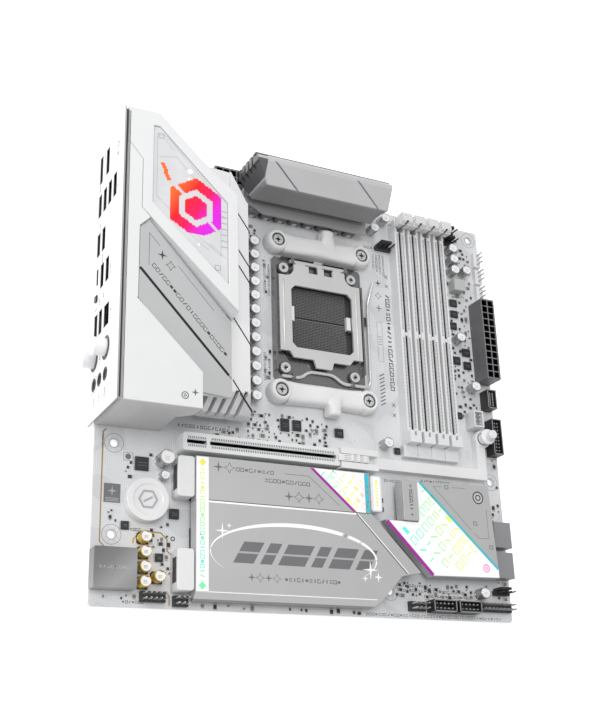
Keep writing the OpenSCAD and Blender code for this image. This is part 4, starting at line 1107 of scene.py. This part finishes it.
# ---------------------------------------------------------------- covers and heatsinks
def drive_covers():
    """Prints on the drive covers: stripe, sparkles, arc, slanted bars, lines and glossy bands with a faint
    painted glow, and white lines of painted highlight along the lower cover's edges.
    """
    x0, d0, x1, _, _, z = extent("m2_cover_upper")
    _, l0, _, l1, _, _ = extent("m2_cover_lower")
    stripe = x0 + 6.6
    b = Build()
    b.patch(x0 + 0.2, d0 + 0.4, stripe, l1 - 3.6, z)
    lean = (139.7 - 114.7) / (191.3 - 169.2)
    low = l0 - 0.5
    b.prism([(114.9, d0 + 0.4), (146, d0 + 0.4), (146, low), (139.9, low)], z - PRINT, z + PRINT)
    b.prism([(113.4, d0 + 0.4), (115.6, d0 + 0.4), (140.4, low), (138.2, low)], z - PRINT, z + 2 * PRINT, 1)
    b.box(146, d0 + 0.4, x1 - 0.4, low, z - PRINT, z + 2 * PRINT, 2)
    b.piece("cover_bands", [INK_WHITE, MAGENTA, CYAN])
    b = Build()
    middle = (x0 + stripe) / 2
    tokens(b, (middle, d0 + 7), (0, 2.3), 24, 1.6, 2.2, z + PRINT, seed=51, stroke=0.26)
    for d in (d0 + 3.2, l1 - 6.6):
        star(b, middle, d, 2.2, z + PRINT, waist=0.4)
    b.piece("cover_stripe_marks", [PASTEL_STRIPE])
    b = Build()
    for i, count in enumerate((6, 6, 5, 3)):
        tokens(b, (121 + i * 6.2, d0 + 2.8), (lean * 3.2, 3.2), count, 2.8, 3.0, z + PRINT,
               seed=61 + i, stroke=0.26)
    b.piece("cover_pastel_marks", [PASTEL_SMALL])
    b = Build()
    star(b, 61.4, 174, 3.0, z)
    open_star(b, 67.4, 174, 2.8, z)
    tokens(b, (72, 174.4), (2.4, 0), 9, 1.7, 1.7, z, seed=71)
    tokens(b, (88, 178.6), (2.4, 0), 11, 1.7, 1.7, z, seed=72)
    for i, x in enumerate((100.6, 106.4, 112.2, 118)):
        (star if i % 2 == 0 else open_star)(b, x, 186, 2.8, z, 0)
    b.stroke([(98.4, 174.2), (112.4, 174.2), (130.4, 188.6)], 0.22, z)
    for i in range(4):
        (star if i % 2 == 0 else open_star)(b, 79 + i * 4.6, 228.6, 2.2, z, 0)
    tokens(b, (98, 228.8), (2.3, 0), 14, 1.6, 1.7, z, seed=73)
    b.stroke([(140.4, 192.2), (169.6, 222.4)], 0.34, z, 1)
    b.piece("cover_fine_marks", [INK_MID, INK_DARK])
    b = Build()
    skew = 6.2
    for x, width in ((69, 11), (83.5, 6.5), (93.5, 15), (112, 6.5), (122, 12.5), (138, 8)):
        b.prism([(x + skew, 211.0), (x + skew + width, 211.0), (x + width, 221.8), (x, 221.8)],
                z - PRINT, z + PRINT)
        b.prism([(x + skew * 0.52, 216.0), (x + skew * 0.52 + width, 216.0), (x + skew * 0.44 + width, 217.0),
                 (x + skew * 0.44, 217.0)], z, z + 2 * PRINT, 1)
    b.piece("cover_slanted_bars", [INK_MID, INK_PALE])
    b = Build()
    swoosh = [(a, 0.05 + math.sin(math.pi * (a - 146) / 250) ** 1.5 * (0.5 + 0.9 * (a - 146) / 250))
              for a in range(148, 393, 4)]
    outer = [arc(104, 216.5, 47 + w, 15.4 + w, a, a, 1)[0] for a, w in swoosh]
    inner = [arc(104, 216.5, 47 - w, 15.4 - w, a, a, 1)[0] for a, w in swoosh]
    for i in range(len(swoosh) - 1):
        b.prism([outer[i], outer[i + 1], inner[i + 1], inner[i]], z - PRINT, z + 1.5 * PRINT)
    for x, d, r, waist in ((63.4, 206.4, 4.2, 0.1), (67, 203.6, 1.4, 0.16), (147, 221.4, 5.0, 0.1),
                           (151.6, 225, 2.6, 0.16), (143.6, 226, 1.8, 0.16)):
        star(b, x, d, r, z + PRINT, 0, waist)
    # White lines along the lower cover's top edge, its bottom edge and beside the diagonal seam: painted
    # highlights on the edges.
    b.patch(stripe + 0.1, l0 + 0.15, 140, l0 + 1.0, z)
    b.patch(x0 + 0.5, l1 - 3.9, 150.4, l1 - 3.5, z)
    b.stroke([(141.3, l0 + 0.6), (170.4, 222)], 0.4, z)
    b.piece("cover_white_arc_and_highlights", [INK_WHITE])
    ex0, ed0, ex1, ed1, _, ez = max(islands("m2_end_blocks"))
    b = Build()
    b.patch(ex0 + 1.2, ed0 + 1.0, ex1 - 1.2, ed1 - 1.0, ez)
    tokens(b, ((ex0 + ex1) / 2, ed0 + 3), (0, 1.9), 8, 1.3, 1.8, ez + PRINT, 1, seed=77, stroke=0.4)
    b.piece("end_block_marks", [INK_WHITE, PASTEL_STRIPE])


def chipset_prints():
    """Prints on the chipset heatsink: white field, cyan and magenta edges, pastel marks and outlines."""
    _, _, x1, _, _, _ = extent("chipset_heatsink")
    z = 10.0  # the heatsink's printed face
    b = Build()
    field = [(179.3, 171.4), (182.4, 171.2), (x1 - 0.5, 215.4), (x1 - 0.3, 221.1), (187.4, 222),
             (160.2, 193.8), (179.3, 193.8)]
    b.prism(field, z - PRINT, z + PRINT)
    b.line([(181.6, 170.9), (x1 - 0.6, 216.4)], 1.5, z - PRINT, z + 2 * PRINT, 2)
    b.line([(159.6, 194.0), (186.7, 221.9)], 1.9, z - PRINT, z + 2 * PRINT, 1)
    b.line([(179.3, 171.6), (179.3, 193.2)], 0.5, z, z + 2 * PRINT, 3)
    b.piece("chipset_bands", [INK_WHITE, MAGENTA, CYAN, INK_DARK])
    b = Build()
    seed = 80
    for offset in (4.2, 9.0, 14.0, 19.2, 24.6, 30.0):
        for i in range(10):
            x = 183.8 - offset * 0.707 + 5.1 * i - 12
            d = 169.4 + offset * 0.707 + 5.0 * i - 12
            if 173 < d < 217.5 and x < 226 and (x > 182 or d > 197):
                seed += 1
                tokens(b, (x, d), (5.1, 5.0), 1, 4.4, 3.1, z + PRINT, seed=seed, stroke=0.26)
    b.piece("chipset_pastel_marks", [PASTEL])
    b = Build()
    b.ring(222, 216.4, 1.6, 2.3, z, z + 2 * PRINT)
    b.ring(222, 216.4, 0.4, 0.9, z, z + 2 * PRINT)
    b.piece("chipset_pink_ring", [PINK])
    b = Build()
    for path in ([(190.7, 172.6), (214, 195.6)], [(190.7, 172.6), (196, 172.4)], [(203, 172.2), (212, 172)],
                 [(225.4, 182.6), (225.4, 199.6), (219, 199.8), (215.6, 197)]):
        b.stroke(path, 0.2, z)
    for x, d in ((199.5, 172.4), (217, 191.6), (226.6, 204.4)):
        outline_box(b, x - 1.1, d - 0.9, x + 1.1, d + 0.9, z, 0.36, 0)
    b.piece("chipset_outlines", [INK_MID])
    b = Build()
    b.ring(220.5, 176.6, 3.1, 3.5, 9.4, z + 0.05, 1)
    b.disc(220.5, 176.6, 3.0, 9.38, 9.8, n=40)
    b.ring(220.5, 176.6, 1.2, 1.8, 9.7, 9.92, 1)
    b.piece("chipset_medallion", [BRIGHT_STEEL, INK_DARK])
    b = Build()
    tokens(b, (174.4, 176.8), (0, 2.0), 6, 1.4, 1.6, 12, seed=91)
    star(b, 174.4, 174.2, 1.1, 12)
    star(b, 174.4, 190.2, 1.1, 12)
    b.piece("chipset_block_marks", [INK_DARK])


def vrm_details():
    """Milled lines on the upper regulator heatsink's front wall, a black line of painted shade in the
    undercut below the wall, and black floors of painted shade in its slashes.
    """
    x0, _, x1, _, _, _ = extent("vrm_heatsink_upper")
    wall = [(18.9, 31), (17.8, 26), (17.5, 20), (18.2, 14)]
    b = Build()
    for (da, za), (db, zb) in zip(wall, wall[1:]):
        count = int((za - zb) / 1.3)
        for k in range(count):
            t = (k + 0.5) / count
            d, z = da + (db - da) * t, za + (zb - za) * t
            b.box(x0 + 9, d - 0.1, x1 - 0.6, d + 0.04, z - 0.12, z + 0.12)
    # Black sheet in the undercut and black floors in the slashes: painted shade.
    b.box(x0 + 8.6, 13.7, x1 - 0.6, 14.0, 9.1, 13.9, 1)
    for x in (83, 134.2):
        b.prism([(x + 0.35, 8.9), (x + 1.45, 8.9), (x + 16.0, 19.1), (x + 14.9, 19.1)], 33.15, 33.5, 1)
    b.piece("vrm_milled_lines_and_shade", [INK_MID, INK_BLACK])


# ---------------------------------------------------------------- rear cover
def rear_cover():
    """Marks on the trim panel and rear cover, and black floors of painted shade in the slashes and fin gaps
    beside them.
    """
    roof = slope("shroud_trim_panel", 2.0)
    b = Build(roof)
    b.stroke([(7.6, 86.4), (58.4, 132.6)], 1.5, 0)
    b.stroke([(58.4, 132.6), (60.0, 134.1)], 0.6, 0, 1)
    b.stroke([(12.4, 84), (12.4, 66.4), (18.4, 72)], 0.26, 0, 1)
    b.stroke([(28.8, 80), (49.6, 99.4)], 0.26, 0, 1)
    tokens(b, (15.4, 83.6), (1.95, 1.8), 22, 1.9, 2.0, 0, 2, seed=41, stroke=0.24)
    star(b, 19.8, 76.6, 2.8, 0, 2)
    open_star(b, 24.6, 81.2, 2.7, 0, 2)
    b.piece("trim_panel_marks", [INK_BLACK, INK_MID, INK_DARK])
    x0, d0, _, d1, z0, z1 = extent("shroud_body")
    b = Build()
    star(b, 36.6, 147.6, 1.9, z1, waist=0.22)
    b.ring(31.4, 149.6, 1.4, 1.9, z1 - PRINT, z1 + PRINT)
    b.ring(31.4, 149.6, 0.4, 0.8, z1 - PRINT, z1 + PRINT)
    b.piece("cover_corner_mark", [INK_MID])
    b = Build()
    # Black floors in the wing's slashes and black strips in the fin gaps: painted shade.
    for d in (36.5, 58, 67.2, 102, 137):
        b.prism([(61.5, d - 3.9), (61.5, d - 2.5), (72.2, d + 13.0), (72.2, d + 11.6)], 29.1, 29.6)
    for x in (53, 58, 63, 68):
        b.box(x + 0.05, 138.95, x + 1.95, 139.2, 10.2, 28.5)
    b.patch(x0 + 0.05, d0 + 3, x0 + 0.75, d1 - 0.3, z1, 1)
    b.patch(x0 + 0.9, d0 + 3, x0 + 1.2, d1 - 0.3, z1)
    b.piece("cover_seams_and_shade", [INK_BLACK, SEAM_GRAY])
    b = Build(lambda x, z, out=0.0: spot(x, d1 + out, z))
    b.patch(x0 + 0.1, z0 + 1, x0 + 0.8, z1 - 0.4, 0)
    for k in range(15):
        for i in range(30):
            b.patch(15.2 + i * 0.58, 12 + k * 1.7, 15.5 + i * 0.58, 12.3 + k * 1.7, 0)
    b.stroke([(13.6, z0 + 3), (13.6, z1 - 2)], 0.16, 0)
    b.piece("cover_end_dots", [INK_PALE])


def light_window():
    """Pixel motif in a lit gradient over faint line art, and small white sparkles."""
    _, _, x1, _, _, z = extent("light_panel")
    b = Build()
    cell, motif_x, motif_d = 0.8, 36.6, 47
    for i in range(38):
        for j in range(44):
            x, d = 20.4 + i * cell, 27 + j * cell
            across, down = abs(x - motif_x) / 14.6, abs(d - motif_d) / 15.2
            reach = max(across, across / 2 + down * 0.866)
            cut = abs((d - motif_d) - 0.95 * (x - motif_x)) < 1.3
            if (0.62 < reach < 1.0 and not cut or reach < 0.4) and x < x1 - 3:
                b.box(x, d, x + cell * 0.985, d + cell * 0.985, z - PRINT, z + 2 * PRINT)
    for x, d in ((17.6, 25), (18.4, 26.6), (19.2, 28.2), (19.2, 29.8), (20.0, 31.4), (20.8, 33.0)):
        b.box(x, d, x + 2.2, d + 1.62, z - PRINT, z + 2 * PRINT)
    b.piece("lit_motif", [MOTIF])
    b = Build()
    for path in ([(15.6, 9), (20.6, 9), (50.6, 40), (50.6, 72), (31, 58), (15.6, 45), (15.6, 9)],
                 [(17, 22), (26, 20), (44, 39)], [(24, 46), (30, 60), (44, 70)],
                 [(46, 45), (53, 50)], [(44, 66), (53.6, 73)], [(20, 11), (24, 16)], [(40, 74), (50, 82)]):
        b.stroke(path, 0.2, z)
    for k in range(7):
        b.patch(50.6, 46 + 3.4 * k, 54.2, 46.5 + 3.4 * k, z)
    for x, d in ((17.6, 9.4), (48.8, 79)):
        outline_box(b, x - 1.4, d - 1.3, x + 1.4, d + 1.3, z, 0.4, 0)
    b.piece("window_lines", [INK_PALE])
    b = Build()
    for x, d, r in ((33.5, 26.9, 1.3), (33, 31.4, 1.0), (36.6, 32, 0.8), (29, 53.8, 1.1), (38.4, 68, 1.0)):
        star(b, x, d, r, z + PRINT, waist=0.3)
    b.ring(33.5, 26.9, 1.1, 1.6, z, z + 2 * PRINT, n=6)
    b.piece("window_sparkles", [INK_WHITE])


def shield_details():
    """Marks and jack rims on the shield, the foam gasket behind it, and ribs on the aerial caps."""
    x0, d0, _, d1, _, z1 = extent("io_shield")
    b = Build(lambda d, z, out=0.0: spot(x0 - out, d, z))
    rows = ((8, 9.6, 3), (24.4, 3, 3), (36.2, 34.4, 4), (48.6, 6, 3), (68.6, 12, 4), (79.8, 26, 4),
            (92, 9, 3), (92, 16, 2), (105.4, 28.6, 4), (123, 13.6, 3), (144.6, 5, 3), (144.6, 14, 3),
            (144.6, 23, 3))
    for i, (d, z, count) in enumerate(rows):
        tokens(b, (d, z), (1.5, 0), count, 1.0, 1.2, 0, seed=101 + i)
    star(b, 20, 33, 2.0, 0)
    b.ring(14.6, 33, 1.2, 1.6, -PRINT, PRINT)
    for z in (4.6, 13.8, 23):
        b.ring(136.9, z, 1.95, 2.25, -0.7, 0.04)
        b.ring(136.9, z, 3.3, 3.5, -0.5, 0.04)
    for z in (3.6, 22.6):
        b.ring(123.2, z, 4.5, 6.2, -PRINT, PRINT, 2)
    outline_box(b, 133.2, 0.4, 141, 8.6, 0, 0.14, 0)
    b.piece("shield_marks", [INK_DARK, TIN, INK_BLACK])
    b = Build()
    edge = extent("shroud_body")[0]
    b.box(x0 + 1.15, d0 + 1.2, edge - 0.1, d1 - 1.2, z1 - 1.6, z1 - 0.7, c=0.2)
    b.piece("shield_gasket", [GASKET])
    b = Build()
    for ax0, ad0, _, ad1, az0, az1 in islands("antenna_connectors"):
        d, z = (ad0 + ad1) / 2, (az0 + az1) / 2
        for i in range(20):
            a = 2 * math.pi * i / 20
            p, q = d + 4.42 * math.cos(a), z + 4.42 * math.sin(a)
            b.tube([(ax0 + 1.0, p, q), (ax0 + 5.8, p, q)], 0.12, 0, n=6)
    b.piece("aerial_cap_ribs", [GLOSS_WHITE])


def corner_details():
    """Marks on the audio shield, the hexagon on the battery cover, and a line on the end blocks."""
    x0, d0, x1, d1, _, z1 = extent("audio_shield")
    b = Build()
    tokens(b, (x0 + 3.4, (d0 + d1) / 2), (1.9, 0), 8, 1.3, 1.2, z1, seed=121)
    b.piece("audio_shield_marks", [INK_PALE])
    x0, d0, x1, d1, _, z1 = extent("battery_cover")
    x, d = (x0 + x1) / 2, (d0 + d1) / 2
    b = Build()
    floor_z = z1 - 0.6
    hexagon = [(x + 4.6 * math.cos(math.pi * i / 3), d + 4.6 * math.sin(math.pi * i / 3)) for i in range(6)]
    b.line(hexagon, 0.9, floor_z - PRINT, floor_z + 0.3, closed=True)
    b.line([(x - 2.2, d + 1.2), (x + 2.2, d - 1.2)], 0.8, floor_z - PRINT, floor_z + 0.3)
    b.piece("battery_cover_mark", [INK_PALE])
    b = Build()
    for ex0, ed0, _, ed1, _, ez in islands("m2_end_blocks")[:2]:
        b.box(ex0, ed0 + 4, ex0 + 0.05, ed1 - 4, 3, ez - 1.6)
    b.piece("end_block_grips", [INK_PALE])


def underside():
    """Solder joints and marks on the back of the board."""
    pitch = 4.2
    b = Build()
    below = -BOARD_T

    def joint(x, d, r=0.75):
        b.spin(x, d, [(0, below + 0.05), (r, below + 0.05), (r, below - 0.08), (r * 0.55, below - 0.35),
                      (r * 0.3, below - 0.8), (0, below - 0.85)], 0, n=10)

    for node, columns, rows in (("main_power_socket", 2, 12), ("cpu_power_socket", 4, 2)):
        x0, d0 = extent(node)[:2]
        for i in range(columns):
            for j in range(rows):
                joint(x0 + 2.8 + i * pitch, d0 + 2.8 + j * pitch, 0.9)
    for node in ("capacitors", "audio_capacitors"):
        for cx0, cd0, cx1, cd1, _, _ in islands(node):
            for s in (-1, 1):
                joint((cx0 + cx1) / 2 + s * 1.2, (cd0 + cd1) / 2, 0.6)
    x0, d0, _, d1, _, _ = extent("pcie_slot")
    for i in range(40):
        for j in range(2):
            joint(x0 + 3 + i * 2.1, (d0 + d1) / 2 - 1.6 + j * 3.2, 0.5)
    for node in ("usb_ports", "display_ports", "network_port"):
        for cx0, cd0, cx1, cd1, _, _ in islands(node):
            for i in range(5):
                for j in range(2):
                    joint(cx0 + 8 + j * 6, cd0 + 2 + i * (cd1 - cd0 - 4) / 4, 0.6)
    for cx0, cd0, cx1, cd1, _, _ in islands("front_usb_headers"):
        x, d, wide = (cx0 + cx1) / 2, (cd0 + cd1) / 2, cx1 - cx0 > cd1 - cd0
        for i in range(-2, 3):
            for j in (-1, 1):
                joint(*((x + i * 2.54, d + j * 1.27) if wide else (x + j, d + i * 2.0)), 0.6)
    b.piece("solder_joints", [TIN])
    b = Build()
    tokens(b, (176, 60), (0, 3.2), 20, 2.2, 2.4, below, seed=131)
    tokens(b, (60, 200), (2.6, 0), 24, 1.8, 2.0, below, seed=132)
    for x, d in ((40, 60), (210, 200), (200, 30), (70, 150)):
        star(b, x, d, 3.0, below)
    for i in range(9):
        outline_box(b, 84 + i * 9, 10, 90 + i * 9, 15, below, 0.16, 0)
    b.piece("underside_print", [INK_MID])


board_print()
print_block()
gold_traces()
standoff_pads()
small_parts()
chip_legs()
capacitor_cans()
choke_terminals()
socket_field()
cooler_brackets()
lever_wire()
socket_trim()
screw_faces()
memory_slots()
expansion_slot()
power_sockets()
header_details()
drive_covers()
chipset_prints()
vrm_details()
rear_cover()
light_window()
shield_details()
corner_details()
underside()


# ---------------------------------------------------------------- floor, light and camera
def floor():
    """Pale floor that stays close to white."""
    low = cad_box[0][2]
    mesh = bpy.data.meshes.new("floor")
    reach = 3.0
    corners = [(-reach, -reach, low), (reach, -reach, low), (reach, reach, low), (-reach, reach, low)]
    mesh.from_pydata(corners, [], [[0, 1, 2, 3]])
    o = bpy.data.objects.new("floor", mesh)
    scene.collection.objects.link(o)
    mesh.materials.append(surface("pale_floor", (0.9, 0.9, 0.9), 0.8, grain=0.02, grain_size=3,
                                  mottle=0.004, glow=0.5))


def area_light(name, place, target, size, power):
    """A disc of light aimed at target. Places and size are in metres, power is in watts."""
    light = bpy.data.lights.new(name, "AREA")
    light.shape = "DISK"
    light.size = size
    light.energy = power
    o = bpy.data.objects.new(name, light)
    o.location = place
    o.rotation_euler = (Vector(target) - Vector(place)).to_track_quat("-Z", "Y").to_euler()
    scene.collection.objects.link(o)


def studio():
    """Soft white world and three large discs of light."""
    world = bpy.data.worlds.new("studio")
    world.use_nodes = True
    background = world.node_tree.nodes["Background"]
    background.inputs["Color"].default_value = (1, 1, 1, 1)
    background.inputs["Strength"].default_value = 0.52
    scene.world = world
    centre = (0.1, 0.04, 0.0)
    area_light("key", (-0.25, 0.15, 1.25), centre, 0.7, 6.5)
    area_light("top", (-0.1, 0.95, 0.8), centre, 0.6, 3.0)
    area_light("rear", (-1.0, 0.1, 0.35), centre, 0.6, 3.5)
    scene.view_settings.view_transform = "Standard"
    scene.view_settings.look = "None"


def camera():
    """Looks down on the board from beyond its lower rear corner. Pose and lens are fitted to the photo."""
    data = bpy.data.cameras.new("camera")
    data.sensor_fit = "HORIZONTAL"
    data.sensor_width = 36
    data.lens = 66.11
    data.clip_start, data.clip_end = 0.02, 20
    o = bpy.data.objects.new("camera", data)
    right, up = Vector((0.8936, -0.0295, 0.4480)), Vector((-0.1336, 0.9351, 0.3282))
    back = right.cross(up).normalized()
    turn = Matrix((right, up, back)).transposed().to_4x4()
    o.matrix_world = Matrix.Translation((-0.15699, -0.15830, 0.50991)) @ turn
    scene.collection.objects.link(o)
    scene.camera = o


floor()
studio()
camera()
